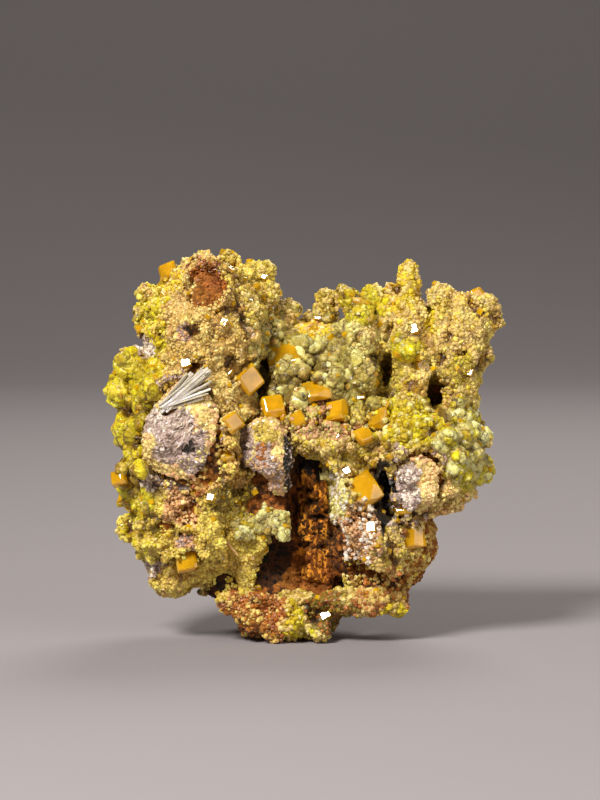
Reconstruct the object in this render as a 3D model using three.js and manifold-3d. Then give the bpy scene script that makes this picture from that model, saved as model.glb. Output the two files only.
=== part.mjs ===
// A pyromorphite specimen: a palm-size piece of rusty ironstone with a deep broken hollow, crusted with
// lumpy yellow-green pyromorphite. Patches of quartz, a spray of cerussite and wulfenite tablets sit on it.
// Millimetres, +Z up, the display face towards -Y, and the origin on the resting plane below the middle.
import * as THREE from "three";
import { mergeVertices } from "three/addons/utils/BufferGeometryUtils.js";
import { ImprovedNoise } from "three/addons/math/ImprovedNoise.js";
import Module from "manifold-3d";

const wasm = await Module();
wasm.setup();

const JOINT_GAP = 0.3; // between solids that touch
const SEAM = 0.5; // under a crust
const REACH = 60; // beyond the whole specimen
const CRUST = 1.1; // thickness of a crust between its lumps, above the bare ironstone
const SHORTEST = 1.2; // edge of a face
const ROCK_SHORTEST = 1.05; // and of one on the ironstone
const CRUMB = 0.35; // and beside a socket
const SHIFT = 0.25; // the most that a face moves as edges are drawn together
const TURN = Math.cos(Math.PI / 3); // and that it turns, as a cosine
const SMALLEST = 0.01; // area of a face
const WELD = 1e-4; // within which two points are one
const TIP_HEIGHT = 1.3; // of the crystals that stud a crust
const TIP_SPREAD = 0.22; // their width on a unit ball
const TIP_LEAST = 0.35; // the lowest one, as a share of that height
const TIP_RANGE = 0.9; // from there to the highest
const TIP_FOOT = 0.3; // how deep the crust lies between them
const FACES_PER_STUD = 3; // along an edge of the pattern that the tips stand in
const BROAD = 1.6; // how closely the broad waves of a rough surface follow each other, on a unit ball
const FINE = 4.2; // and the fine ones
const FINE_SHARE = 0.55; // how high those are beside the broad ones
const BROAD_STEP = 3.1; // how far the broad waves of one seed lie from those of the next
const FINE_STEP = 2.3; // and the fine ones
const LOBE_ROUGH = 0.16; // how far a lobe's surface strays from its shape, as a share of its size
const HOLLOW_ROUGH = 0.2; // and that of a hollow, a patch or a bare place
const COVER_ROUGH = 0.1; // and the edge of a crust
const SINK = 0.6; // how deep a tablet's middle sits behind the surface around it
const RIM_DEPTH = -2; // where a tablet hangs past the outline
const BLOCKY = 2.5; // the power that squares off a rounded lobe: 2 is an ellipsoid
const TABLET_BEVEL = 0.22; // as a share of the tablet's thickness
const LARGE_LUMP = 2.45; // the radius above which a lump has more faces
const LUMP_TURN = 6; // the most that a lump is turned about each axis, in radians
const CORNER_REACH = 1.25; // how much further out a lump's corners lie than its faces
const SEED = 7;
const CRUST_SEED = 5; // of the first crust: the quartz patches come before it
const CRUST_LOBE_SEED = 20; // of the first lobe that is crust all through
const HOLLOW_SEED = 40; // of the first hollow
const LUMP_SEEDS = 50; // between the first lumps of two patches

const IRONSTONE = new THREE.MeshStandardMaterial({ color: 0x7a4a1e, roughness: 0.9, metalness: 0 });
const PYROMORPHITE = new THREE.MeshStandardMaterial({ color: 0xb3aa3c, roughness: 0.45, metalness: 0 });
const QUARTZ = new THREE.MeshStandardMaterial({ color: 0xc9b8b2, roughness: 0.4, metalness: 0 });
const CERUSSITE = new THREE.MeshStandardMaterial({ color: 0xb5b0a6, roughness: 0.25, metalness: 0 });
const WULFENITE = new THREE.MeshStandardMaterial({ color: 0xe08a08, roughness: 0.15, metalness: 0 });

// The lobes of the ironstone: centre, half sizes, how far each leans clockwise in the front view in degrees,
// how fine its own faces are, and how closely crystal tips stud the crust on it: 0 is none.
const LOBES = [
  { at: [-12.2, 0.0, 37.4], half: [6.2, 8.4, 7.6], lean: 0, faces: 1, studs: 2 }, // head of the left block
  { at: [-13.8, -1.0, 24.6], half: [7.0, 9.4, 9.6], lean: 0, faces: 1, studs: 2 }, // middle of that block
  { at: [-14.6, -0.6, 14.6], half: [5.6, 8.2, 6.0], lean: 0, faces: 1, studs: 2 }, // lower left
  { at: [-0.5, 3.0, 18.5], half: [12.0, 10.0, 14.5], lean: 0, faces: 2, studs: 2 }, // core
  { at: [0.5, 6.0, 30.5], half: [10.5, 7.0, 6.8], lean: 0, faces: 2, studs: 2 }, // bed of the valley
  { at: [2.0, -3.2, 25.2], half: [8.6, 5.0, 2.6], lean: 0, faces: 1, studs: 1 }, // ledge above the hollow
  { at: [11.6, 2.6, 35.0], half: [2.8, 4.6, 6.6], lean: 0, faces: 1, studs: 1 }, // tower
  { at: [18.0, 2.0, 35.2], half: [3.2, 4.6, 5.4], lean: 12, faces: 1, studs: 1 }, // shoulder of the tower
  { at: [14.8, 2.4, 29.4], half: [5.0, 6.4, 5.4], lean: 0, faces: 1, studs: 1 }, // neck
  { at: [13.6, -0.5, 21.6], half: [6.4, 8.8, 6.6], lean: 10, faces: 1, studs: 2 }, // right bulge
  { at: [8.8, 0.5, 11.8], half: [6.4, 8.4, 6.6], lean: 12, faces: 2, studs: 0 }, // lower right
  { at: [6.6, -6.2, 15.4], half: [2.3, 4.4, 7.6], lean: -35, faces: 1, studs: 1 }, // ridge beside the hollow
  { at: [-2.4, 1.8, 5.4], half: [6.6, 8.4, 6.2], lean: 0, faces: 2, studs: 1 }, // foot
  { at: [-9.4, -0.4, 6.8], half: [2.8, 4.4, 2.6], lean: 25, faces: 1, studs: 0 }, // left of the foot
];

// Lobes that are pyromorphite all through.
const CRUST_LOBES = [
  { at: [-16.4, -1.4, 8.6], half: [3.2, 5.0, 3.8], lean: 0 }, // toe
  { at: [6.6, -0.6, 34.4], half: [2.2, 3.6, 6.2], lean: 0 }, // column in the valley
  { at: [12.2, 2.2, 41.6], half: [2.0, 2.6, 3.8], lean: 4 }, // peak of the tower
  { at: [21.6, 1.2, 39.2], half: [2.0, 3.0, 2.6], lean: 0 }, // tip of the shoulder
];

// Hollows broken or grown into the ironstone, in the same terms.
const HOLLOWS = [
  { at: [1.2, -8.6, 17.2], half: [3.8, 8.0, 7.2], lean: 0 }, // upright part of the broken hollow
  { at: [-2.4, -9.0, 8.8], half: [6.8, 6.6, 4.6], lean: 0 }, // its wide foot
  { at: [7.6, -8.8, 8.2], half: [3.6, 3.6, 2.4], lean: 0 }, // recess below the ridge
  { at: [9.6, -9.0, 18.6], half: [1.7, 6.0, 4.6], lean: -8 }, // crevice right of the ridge
  { at: [-5.1, -6.6, 31.8], half: [2.1, 7.6, 5.0], lean: 8 }, // cleft between block and valley
  { at: [-8.0, -9.4, 20.4], half: [1.2, 4.2, 4.4], lean: 0 }, // cleft between block and knob
  { at: [9.8, -3.4, 32.6], half: [1.9, 6.6, 3.8], lean: 0 }, // vug left of the tower
  { at: [15.6, -4.8, 30.4], half: [2.2, 6.2, 3.4], lean: 0 }, // vug in the neck
  { at: [14.9, -0.6, 40.8], half: [1.2, 4.0, 1.8], lean: 0 }, // notch behind the peak
  { at: [4.6, 13.4, 23.6], half: [5.4, 2.6, 2.6], lean: 12 }, // ledge across the back
  { at: [-6.6, 13.0, 13.4], half: [3.4, 3.4, 5.0], lean: -20 }, // pit low on the back
  { at: [7.2, 10.6, 8.6], half: [3.6, 3.0, 3.0], lean: 0 }, // and another
  { at: [-3.0, 12.8, 31.0], half: [4.2, 2.6, 2.0], lean: -14 }, // ledge behind the valley
];

// The ribbed pillar of ironstone that stands in the hollow. Its ribs stray by wander at each of its rings, and
// the pattern moves on by phase from ring to ring.
const PILLAR = {
  foot: [1.4, -3.9, 7.5],
  top: [0.6, -3.3, 24.0],
  radius: 1.9,
  ribs: 7,
  ribDepth: 0.45,
  rings: 5,
  wander: 0.3,
  phase: 2.1,
};

// Lumps that stand out of a crust, as [x, y, z, radius].
const LEFT_LUMPS = [
  [-15.9, -1.0, 44.2, 1.6], [-12.4, 0.0, 46.0, 1.9], [-9.4, 0.5, 46.0, 1.9], [-6.6, 0.4, 44.9, 1.6],
  [-4.8, 0.2, 45.1, 1.3], [-4.6, 0.2, 42.2, 1.9], [-19.6, -0.8, 42.4, 1.5], [-20.0, -0.8, 39.6, 1.7],
  [-20.6, -2.4, 33.6, 2.5], [-22.4, -2.4, 30.6, 1.9], [-21.6, -3.0, 28.2, 1.9], [-18.2, -6.4, 31.6, 2.0],
  [-20.4, -3.8, 25.4, 2.8], [-18.7, -5.6, 22.9, 2.8], [-20.6, -4.6, 19.4, 2.3], [-21.4, -3.0, 13.6, 2.0],
  [-17.6, -2.0, 7.8, 2.0], [-10.4, -4.6, 10.6, 2.2], [-5.6, 1.8, 43.4, 1.7],
];
const VALLEY_LUMPS = [
  [-2.2, -3.4, 32.0, 2.2], [-4.2, 1.0, 36.6, 2.2], [-2.6, 3.0, 39.8, 2.0], [2.3, 3.6, 39.2, 1.9],
  [2.4, 3.6, 41.4, 1.4], [6.4, 0.6, 40.6, 2.2], [5.0, 1.2, 41.8, 1.6], [8.2, 0.8, 41.6, 1.6],
  [6.4, -3.0, 36.6, 2.1], [6.8, -3.4, 32.6, 2.2], [2.6, -1.2, 32.6, 2.1], [3.2, 0.0, 35.8, 1.9],
  [8.8, -6.0, 28.6, 1.9], [-4.8, 2.4, 38.8, 1.9],
];
const RIGHT_LUMPS = [
  [12.6, 2.2, 44.9, 1.5], [10.6, 0.6, 41.0, 2.0], [16.4, 1.0, 41.6, 2.1], [19.6, 0.8, 41.0, 1.7],
  [22.4, 0.6, 40.8, 1.7], [23.0, 0.4, 38.8, 1.6], [21.4, -0.4, 34.6, 2.0], [19.8, -0.6, 31.0, 1.8],
  [12.2, -2.2, 35.6, 2.1], [12.2, -5.6, 28.4, 2.2], [18.2, -3.8, 26.8, 2.1], [20.6, -2.2, 24.2, 2.0],
  [17.4, -6.2, 23.4, 2.5], [20.4, -3.0, 21.0, 2.3], [18.2, -4.0, 17.4, 1.9], [11.2, -7.4, 24.8, 1.9],
];
const RIM_LUMPS = [
  [-9.4, -5.6, 4.8, 1.9], [-7.0, -6.3, 3.0, 2.0], [-4.0, -6.4, 1.6, 1.9], [-2.0, -6.8, 2.6, 1.8],
  [1.7, -6.4, 1.6, 1.8], [4.4, -6.4, 5.0, 2.2], [6.4, -6.6, 4.8, 2.0], [8.0, -6.6, 4.8, 2.0],
  [9.4, -5.8, 5.2, 2.0], [10.8, -5.0, 4.8, 2.1], [11.8, -4.6, 7.2, 1.9], [13.2, -3.6, 8.8, 1.5],
];
const HOLLOW_LUMPS = [
  [-5.2, -5.8, 14.8, 2.2], [-3.2, -6.0, 15.2, 1.8], [-2.6, -6.2, 13.6, 1.6], [-7.6, -6.4, 14.0, 1.9],
];
const KNOB_LUMPS = [
  [-4.9, -7.8, 25.0, 2.9], [-6.3, -7.6, 22.8, 2.1], [-3.9, -8.6, 22.6, 2.6], [-3.2, -7.6, 19.6, 1.8],
];

// What grows on the ironstone: each patch covers the part of the surface that its covers reach, and its
// lumps stand on it.
const QUARTZ_PATCHES = [
  {
    name: "quartz_left",
    cover: { at: [-15.2, -10.4, 26.0], half: [4.8, 5.6, 6.2], lean: 16 },
    lumps: [
      [-17.2, -9.6, 26.8, 1.7], [-14.2, -10.4, 23.4, 1.9],
      [-12.8, -10.2, 27.0, 1.7], [-16.4, -9.4, 22.8, 1.5],
    ],
  },
  {
    name: "quartz_right",
    cover: { at: [13.4, -10.0, 19.2], half: [3.0, 5.0, 4.0], lean: 0 },
    lumps: [[12.6, -9.2, 20.6, 1.5], [14.4, -9.0, 18.4, 1.6], [12.4, -9.0, 17.4, 1.3]],
  },
  { name: "quartz_knob", cover: null, lumps: KNOB_LUMPS },
];
const CRUSTS = [
  {
    name: "pyromorphite_crust",
    covers: [
      { at: [-15.6, -3.6, 26.0], half: [14.0, 12.4, 24.0], lean: 2 },
      { at: [10.4, -3.4, 30.6], half: [18.6, 12.6, 16.4], lean: 0 },
      { at: [7.8, -9.6, 13.6], half: [3.0, 4.6, 6.4], lean: -35 },
    ],
    lumps: [...LEFT_LUMPS, ...VALLEY_LUMPS, ...RIGHT_LUMPS, ...HOLLOW_LUMPS],
  },
  {
    name: "pyromorphite_rim",
    covers: [{ at: [-2.6, -6.0, 3.0], half: [7.4, 5.4, 3.6], lean: 0 }],
    lumps: RIM_LUMPS,
  },
];

// Places where nothing grows, so that rusty ironstone shows, in the same terms as a hollow.
const BARE = [
  { at: [-11.8, -6.0, 43.2], half: [2.6, 6.0, 2.4], lean: 0 }, // rusty hollow at the top of the block
  { at: [-0.6, -10.0, 15.0], half: [4.6, 10.0, 8.2], lean: 0 }, // the broken hollow
  { at: [-14.4, -12.0, 15.8], half: [2.0, 4.4, 1.8], lean: 0 }, // worn spot low on the left
  { at: [-10.2, -2.0, 5.4], half: [2.6, 9.0, 2.8], lean: 0 }, // left of the foot
];

// Wulfenite tablets: where they show on the display face [x, z], full width, thickness, the way the broad
// face looks [turn right, turn up] in degrees, and its spin.
const TABLETS = [
  { name: "wulfenite_valley_large", at: [-2.8, 34.4], width: 4.4, thick: 2.0, look: [-20, 42], spin: 20 },
  { name: "wulfenite_block_edge", at: [-6.9, 32.0], width: 3.0, thick: 1.3, look: [30, 10], spin: 35 },
  { name: "wulfenite_knob_top", at: [-4.0, 28.6], width: 2.9, thick: 1.7, look: [10, 25], spin: 10 },
  { name: "wulfenite_knob_small", at: [-1.1, 27.2], width: 2.0, thick: 1.4, look: [-15, 10], spin: 30 },
  { name: "wulfenite_glint", at: [3.7, 28.2], width: 2.6, thick: 1.6, look: [-28, 30], spin: 15 },
  { name: "wulfenite_ridge_large", at: [6.9, 18.8], width: 3.9, thick: 2.2, look: [-10, 12], spin: 40 },
  { name: "wulfenite_vug_upper", at: [8.6, 27.4], width: 2.6, thick: 1.5, look: [-30, 20], spin: 5 },
  { name: "wulfenite_vug_lower", at: [6.9, 25.4], width: 2.1, thick: 1.2, look: [15, 40], spin: 25 },
  { name: "wulfenite_olive", at: [1.2, 30.6], width: 3.2, thick: 1.2, look: [5, 60], spin: 15 },
  { name: "wulfenite_bulge", at: [11.5, 16.6], width: 2.1, thick: 1.3, look: [-10, 25], spin: 8 },
  { name: "wulfenite_corner", at: [13.0, 12.8], width: 2.7, thick: 1.6, look: [0, 15], spin: 12 },
  { name: "wulfenite_left_edge", at: [-22.6, 20.2], width: 1.9, thick: 1.3, look: [-35, 15], spin: 20 },
  { name: "wulfenite_left_glint", at: [-22.0, 17.4], width: 1.9, thick: 1.1, look: [-10, 40], spin: 0 },
  { name: "wulfenite_low_left", at: [-14.4, 10.2], width: 2.6, thick: 1.5, look: [-12, 8], spin: 12 },
  { name: "wulfenite_shoulder", at: [-8.8, 27.2], width: 2.2, thick: 1.3, look: [20, 12], spin: 30 },
  { name: "wulfenite_side_glint", at: [-9.7, 23.2], width: 2.0, thick: 1.2, look: [15, 35], spin: 5 },
  { name: "wulfenite_block_tip", at: [-16.8, 44.8], width: 2.2, thick: 1.4, look: [-20, 30], spin: 25 },
  { name: "wulfenite_block_side", at: [-20.0, 38.4], width: 1.9, thick: 1.2, look: [-35, 5], spin: 20 },
  { name: "wulfenite_tower_left", at: [14.1, 33.4], width: 1.9, thick: 1.2, look: [10, 15], spin: 15 },
  { name: "wulfenite_tower_tip", at: [21.0, 41.8], width: 1.9, thick: 1.3, look: [20, 20], spin: 30 },
];

// The cerussite spray: blades that fan out from one root, each with its bearing in the front view, up from
// the right, its length, its twist, and how far it leans forward. Angles are in degrees.
const SPRAY = {
  root: [-17.4, -10.0, 29.0],
  blades: [
    [26, 5.6, 50, 4], [34, 6.8, 28, 9], [42, 6.6, 6, 14], [52, 5.4, -16, 19], [16, 4.6, -38, 24],
  ],
  width: 1.5,
  thick: 0.7,
};

// A source of chance numbers from 0 to 1, the same at every run.
function seeded(seed) {
  let state = seed;
  return () => {
    state = (state + 0x6d2b79f5) | 0;
    let t = Math.imul(state ^ (state >>> 15), 1 | state);
    t = (t + Math.imul(t ^ (t >>> 7), 61 | t)) ^ t;
    return ((t ^ (t >>> 14)) >>> 0) / 4294967296;
  };
}

const noise = new ImprovedNoise();

function solidOf(geometry) {
  const bare = geometry.clone();
  bare.deleteAttribute("normal");
  bare.deleteAttribute("uv");
  const merged = mergeVertices(bare, WELD);
  return new wasm.Manifold(
    new wasm.Mesh({
      numProp: 3,
      vertProperties: new Float32Array(merged.getAttribute("position").array),
      triVerts: new Uint32Array(merged.getIndex().array),
    }),
  );
}

function geometryOf(solid) {
  const mesh = solid.getMesh();
  return new THREE.BufferGeometry()
    .setAttribute("position", new THREE.BufferAttribute(new Float32Array(mesh.vertProperties), 3))
    .setIndex(new THREE.BufferAttribute(new Uint32Array(mesh.triVerts), 1));
}

// The largest connected body of a solid: crumbs that a cut leaves behind fall away.
function largestBody(solid) {
  const geometry = geometryOf(solid);
  const position = geometry.getAttribute("position");
  const index = geometry.getIndex().array;
  const owner = Array.from({ length: position.count }, (_, i) => i);
  const find = (i) => {
    let top = i;
    while (owner[top] !== top) {
      owner[top] = owner[owner[top]];
      top = owner[top];
    }
    return top;
  };
  for (let i = 0; i < index.length; i += 3) {
    owner[find(index[i + 1])] = find(index[i]);
    owner[find(index[i + 2])] = find(index[i]);
  }
  const bodies = new Map();
  for (let i = 0; i < index.length; i += 3) {
    const key = find(index[i]);
    if (!bodies.has(key)) bodies.set(key, []);
    bodies.get(key).push(index[i], index[i + 1], index[i + 2]);
  }
  const biggest = [...bodies.values()].sort((a, b) => b.length - a.length)[0];
  const kept = new THREE.BufferGeometry().setAttribute("position", position).setIndex(biggest);
  return solidOf(kept.toNonIndexed());
}

// A closed surface without its shortest edges: each is drawn together to one of its ends, where that keeps
// the surface closed and turns no face over.
function withoutShortEdges(geometry, shortest) {
  const indexed = mergeVertices(geometry, WELD);
  const position = indexed.getAttribute("position");
  const pointAt = (_, i) => new THREE.Vector3().fromBufferAttribute(position, i);
  const points = Array.from({ length: position.count }, pointAt);
  const around = points.map(() => new Set());
  const index = indexed.getIndex().array;
  for (let i = 0; i < index.length; i += 3) {
    const face = [index[i], index[i + 1], index[i + 2]];
    for (const corner of face) around[corner].add(face);
  }
  const neighbours = (i) => new Set([...around[i]].flat().filter((k) => k !== i));
  const triangle = (face) => new THREE.Triangle(...face.map((i) => points[i]));
  const keepsFacing = (gone, kept) => [...around[gone]].every((face) => {
    if (face.includes(kept)) return true;
    const moved = triangle(face.map((i) => (i === gone ? kept : i)));
    const before = triangle(face).getNormal(new THREE.Vector3());
    const after = moved.getNormal(new THREE.Vector3());
    const shift = Math.abs(after.dot(points[gone].clone().sub(points[kept])));
    return moved.getArea() > SMALLEST && after.dot(before) > TURN && shift < SHIFT;
  });
  const collapse = (gone, kept) => {
    for (const face of [...around[gone]]) {
      if (face.includes(kept)) {
        for (const corner of face) around[corner].delete(face);
      } else {
        face[face.indexOf(gone)] = kept;
        around[kept].add(face);
      }
    }
    around[gone].clear();
  };
  for (let changed = true; changed; ) {
    changed = false;
    for (let a = 0; a < points.length; a += 1) {
      for (const b of neighbours(a)) {
        if (points[a].distanceTo(points[b]) > shortest) continue;
        const shared = [...neighbours(a)].filter((k) => neighbours(b).has(k));
        if (shared.length !== 2) continue;
        const [gone, kept] = keepsFacing(a, b) ? [a, b] : [b, a];
        if (gone === b && !keepsFacing(b, a)) continue;
        collapse(gone, kept);
        changed = true;
        break;
      }
    }
  }
  const faces = new Set(around.flatMap((set) => [...set]));
  const corners = [...faces].flatMap((face) => face.flatMap((i) => points[i].toArray()));
  return new THREE.BufferGeometry().setAttribute("position", new THREE.Float32BufferAttribute(corners, 3));
}

// A closed ball of small faces: every point of a squared-off unit ball is moved out or in by a roughness,
// then the ball is stretched to its half sizes, leant in the front view and put in its place. A relief adds
// its height.
function roughBall({ at, half, lean }, detail, rough, seed, relief = null) {
  const bare = new THREE.IcosahedronGeometry(1, detail);
  bare.deleteAttribute("normal");
  bare.deleteAttribute("uv");
  const geometry = mergeVertices(bare, WELD);
  const position = geometry.getAttribute("position");
  const size = new THREE.Vector3(...half);
  for (let i = 0; i < position.count; i += 1) {
    const direction = new THREE.Vector3().fromBufferAttribute(position, i);
    const { x, y, z } = direction;
    const broad = noise.noise(x * BROAD + seed * BROAD_STEP, y * BROAD + seed, z * BROAD);
    const fine = noise.noise(x * FINE, y * FINE + seed * FINE_STEP, z * FINE + seed);
    const square = [x, y, z].reduce((sum, c) => sum + Math.abs(c) ** BLOCKY, 0) ** (-1 / BLOCKY);
    const reach = square * (1 + rough * (broad + FINE_SHARE * fine));
    const point = direction.clone().multiplyScalar(reach).multiply(size);
    if (relief) point.addScaledVector(point.clone().normalize(), relief(direction));
    position.setXYZ(i, point.x, point.y, point.z);
  }
  geometry.rotateY(THREE.MathUtils.degToRad(lean));
  geometry.translate(...at);
  return solidOf(geometry);
}

function pillar(grow) {
  const { foot, top, radius, ribs, ribDepth, rings, wander, phase } = PILLAR;
  const length = top[2] - foot[2];
  const geometry = new THREE.CylinderGeometry(radius + grow, radius + grow, length, ribs * 2, rings);
  const position = geometry.getAttribute("position");
  const step = Math.PI / ribs;
  for (let i = 0; i < position.count; i += 1) {
    const x = position.getX(i);
    const z = position.getZ(i);
    const out = Math.hypot(x, z);
    if (out > radius / 2) {
      const side = Math.round(Math.atan2(x, z) / step);
      const level = Math.round((position.getY(i) / length + 0.5) * rings);
      const cut = side % 2 === 0 ? 0 : ribDepth;
      const reach = out - cut + wander * Math.sin(level * phase + side);
      position.setX(i, (x * reach) / out);
      position.setZ(i, (z * reach) / out);
    }
  }
  geometry.rotateX(Math.PI / 2);
  geometry.translate(0, 0, length / 2);
  const across = (top[0] - foot[0]) / length;
  const back = (top[1] - foot[1]) / length;
  geometry.applyMatrix4(new THREE.Matrix4().makeShear(0, 0, 0, 0, across, back));
  geometry.translate(...foot);
  return solidOf(geometry);
}

const swell = (part, by) => ({ ...part, half: part.half.map((h) => h + by) });

// A lobe of crust: a ball studded with crystal tips in a close pattern, each as high as chance has it.
function studdedBall(lobe, seed) {
  const { studs } = lobe;
  const coarse = new THREE.IcosahedronGeometry(1, studs - 1).getAttribute("position");
  const tips = [];
  for (let i = 0; i < coarse.count; i += 3) {
    const corners = [0, 1, 2].map((k) => new THREE.Vector3().fromBufferAttribute(coarse, i + k));
    const centre = corners[0].clone().add(corners[1]).add(corners[2]).normalize();
    tips.push(...corners, centre);
  }
  const random = seeded(SEED + seed);
  return roughBall(lobe, FACES_PER_STUD * studs - 1, LOBE_ROUGH, seed, (direction) => {
    const tip = tips.some((t) => t.distanceTo(direction) < TIP_SPREAD / studs);
    return tip ? TIP_HEIGHT * (TIP_LEAST + TIP_RANGE * random()) : -TIP_FOOT * TIP_HEIGHT;
  });
}

const joined = (solids) => solids.reduce((whole, part) => whole.add(part));

function carved(rock, grow) {
  HOLLOWS.forEach((hollow, i) => {
    rock = rock.subtract(roughBall(swell(hollow, -grow), 1, HOLLOW_ROUGH, i + HOLLOW_SEED));
  });
  return rock;
}

// The ironstone with every surface moved out by grow.
function ironstone(grow) {
  const balls = LOBES.map((lobe, i) => roughBall(swell(lobe, grow), lobe.faces, LOBE_ROUGH, i + 1));
  return carved(joined(balls), grow).add(pillar(grow));
}

// The studded outside of its crusts.
function crustOutside(grow) {
  const balls = LOBES.map((lobe, i) => {
    const grown = swell(lobe, grow);
    return lobe.studs ? studdedBall(grown, i + 1) : roughBall(grown, lobe.faces, LOBE_ROUGH, i + 1);
  });
  const extra = CRUST_LOBES.map((lobe, i) => roughBall(lobe, 1, HOLLOW_ROUGH, i + CRUST_LOBE_SEED));
  return carved(joined([...balls, ...extra]), grow);
}

// Half of space as a box whose top is the resting plane.
function belowPlane(height) {
  const box = new THREE.BoxGeometry(2 * REACH, 2 * REACH, REACH);
  box.translate(0, 0, height - REACH / 2);
  return solidOf(box);
}

// The way that a tablet turned to its look and spin stands, from one lying flat.
function tabletTurn({ look, spin }) {
  const turn = new THREE.Matrix4().makeRotationZ(THREE.MathUtils.degToRad(look[0]));
  turn.multiply(new THREE.Matrix4().makeRotationX(Math.PI / 2 - THREE.MathUtils.degToRad(look[1])));
  return turn.multiply(new THREE.Matrix4().makeRotationZ(THREE.MathUtils.degToRad(spin)));
}

// A square wulfenite tablet with bevelled edges.
function tablet(spec) {
  const { width, thick } = spec;
  const bevel = thick * TABLET_BEVEL;
  const half = width / 2 - bevel;
  const square = new THREE.Shape([
    new THREE.Vector2(-half, -half), new THREE.Vector2(half, -half),
    new THREE.Vector2(half, half), new THREE.Vector2(-half, half),
  ]);
  const depth = thick - 2 * bevel;
  const geometry = new THREE.ExtrudeGeometry(square, {
    depth,
    bevelThickness: bevel,
    bevelSize: bevel,
    bevelSegments: 1,
  });
  geometry.translate(0, 0, -depth / 2);
  return geometry.applyMatrix4(tabletTurn(spec));
}

// The plain square socket that holds it.
function socket(spec) {
  const side = spec.width + 2 * JOINT_GAP;
  return new THREE.BoxGeometry(side, side, spec.thick + 2 * JOINT_GAP).applyMatrix4(tabletTurn(spec));
}

// The cerussite blades as one body, swollen by grow.
function spray(grow) {
  const { root, blades, width, thick } = SPRAY;
  let body = null;
  for (const [bearing, length, twist, forward] of blades) {
    const blade = new THREE.BoxGeometry(length + 2 * grow, thick + 2 * grow, width + 2 * grow);
    blade.translate(length / 2, 0, 0);
    blade.rotateX(THREE.MathUtils.degToRad(twist));
    blade.rotateZ(THREE.MathUtils.degToRad(-forward));
    blade.rotateY(THREE.MathUtils.degToRad(-bearing));
    blade.translate(...root);
    const part = solidOf(blade);
    body = body ? body.add(part) : part;
  }
  return body;
}

// A lump of crystal, a ball of flat faces turned as chance has it.
function lumpSolid([x, y, z, radius], grow, seed) {
  const random = seeded(SEED + seed);
  const geometry = new THREE.IcosahedronGeometry(radius + CORNER_REACH * grow, radius > LARGE_LUMP ? 1 : 0);
  const turn = new THREE.Euler(random() * LUMP_TURN, random() * LUMP_TURN, random() * LUMP_TURN);
  geometry.applyMatrix4(new THREE.Matrix4().makeRotationFromEuler(turn));
  geometry.translate(x, y, z);
  return solidOf(geometry);
}

// The largest body of a solid, without its shortest edges.
const cleaned = (solid, shortest) => solidOf(withoutShortEdges(geometryOf(largestBody(solid)), shortest));

const rock = cleaned(ironstone(0).subtract(belowPlane(0)), ROCK_SHORTEST);
const rockSkin = ironstone(SEAM);
const outside = crustOutside(CRUST);

// A patch of quartz, an even sheet or a few lumps, that still holds the ironstone below it.
function quartzPatch({ cover, lumps }, grow, seed) {
  const parts = lumps.map((lump, i) => lumpSolid(lump, grow, seed * LUMP_SEEDS + i));
  if (cover) parts.push(ironstone(CRUST).intersect(roughBall(cover, 1, HOLLOW_ROUGH, seed)));
  return joined(parts);
}

// The room that a patch of quartz takes up in the crust around it.
function quartzRoom({ cover, lumps }, seed) {
  if (!cover) return quartzPatch({ cover, lumps }, JOINT_GAP, seed);
  return roughBall(swell(cover, JOINT_GAP), 1, HOLLOW_ROUGH, seed);
}

// A crust of pyromorphite in the same way.
function crust({ covers, lumps }, seed) {
  let sheet = outside.intersect(joined(covers.map((cover) => roughBall(cover, 2, COVER_ROUGH, seed))));
  BARE.forEach((bare) => {
    sheet = sheet.subtract(roughBall(bare, 1, HOLLOW_ROUGH, seed));
  });
  return joined([sheet, ...lumps.map((lump, i) => lumpSolid(lump, 0, seed * LUMP_SEEDS + i))]);
}

const patches = [
  ...QUARTZ_PATCHES.map((patch, i) => {
    const solid = cleaned(quartzPatch(patch, 0, i + 1).subtract(rockSkin), SHORTEST);
    return { name: patch.name, material: QUARTZ, solid };
  }),
  ...CRUSTS.map((patch, i) => {
    let solid = crust(patch, i + CRUST_SEED).subtract(rockSkin).subtract(belowPlane(0));
    QUARTZ_PATCHES.forEach((quartz, k) => {
      solid = solid.subtract(quartzRoom(quartz, k + 1));
    });
    return { name: patch.name, material: PYROMORPHITE, solid: cleaned(solid, SHORTEST) };
  }),
];

// The front surface of what is built so far, for setting the tablets on it.
function frontSurface(solids) {
  const seen = new THREE.MeshBasicMaterial({ side: THREE.DoubleSide });
  const meshes = solids.map((solid) => new THREE.Mesh(geometryOf(solid), seen));
  const ray = new THREE.Raycaster();
  return (x, z) => {
    ray.set(new THREE.Vector3(x, -REACH, z), new THREE.Vector3(0, 1, 0));
    const hit = ray.intersectObjects(meshes, false)[0];
    return hit ? hit.point.y : null;
  };
}

const specimen = new THREE.Group();

function addPiece(name, geometry, material) {
  const mesh = new THREE.Mesh(geometry, material);
  mesh.name = name;
  specimen.add(mesh);
  return mesh;
}

const front = frontSurface([rock, ...patches.map((p) => p.solid)]);
let matrix = rock;
const cuts = [spray(JOINT_GAP)];
for (const spec of TABLETS) {
  const [x, z] = spec.at;
  const y = (front(x, z) ?? RIM_DEPTH) + SINK;
  cuts.push(solidOf(socket(spec).translate(x, y, z)));
  addPiece(spec.name, tablet(spec), WULFENITE).position.set(x, y, z);
}
for (const cut of cuts) {
  matrix = matrix.subtract(cut);
  for (const patch of patches) patch.solid = patch.solid.subtract(cut);
}
addPiece("cerussite_spray", geometryOf(cleaned(spray(0), CRUMB)), CERUSSITE);

addPiece("matrix", geometryOf(cleaned(matrix, CRUMB)), IRONSTONE);
for (const patch of patches) addPiece(patch.name, geometryOf(cleaned(patch.solid, CRUMB)), patch.material);

const bounds = new THREE.Box3().setFromObject(specimen);
const middle = bounds.getCenter(new THREE.Vector3());
specimen.position.set(-middle.x, -middle.y, -bounds.min.z);

export default specimen;
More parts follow.
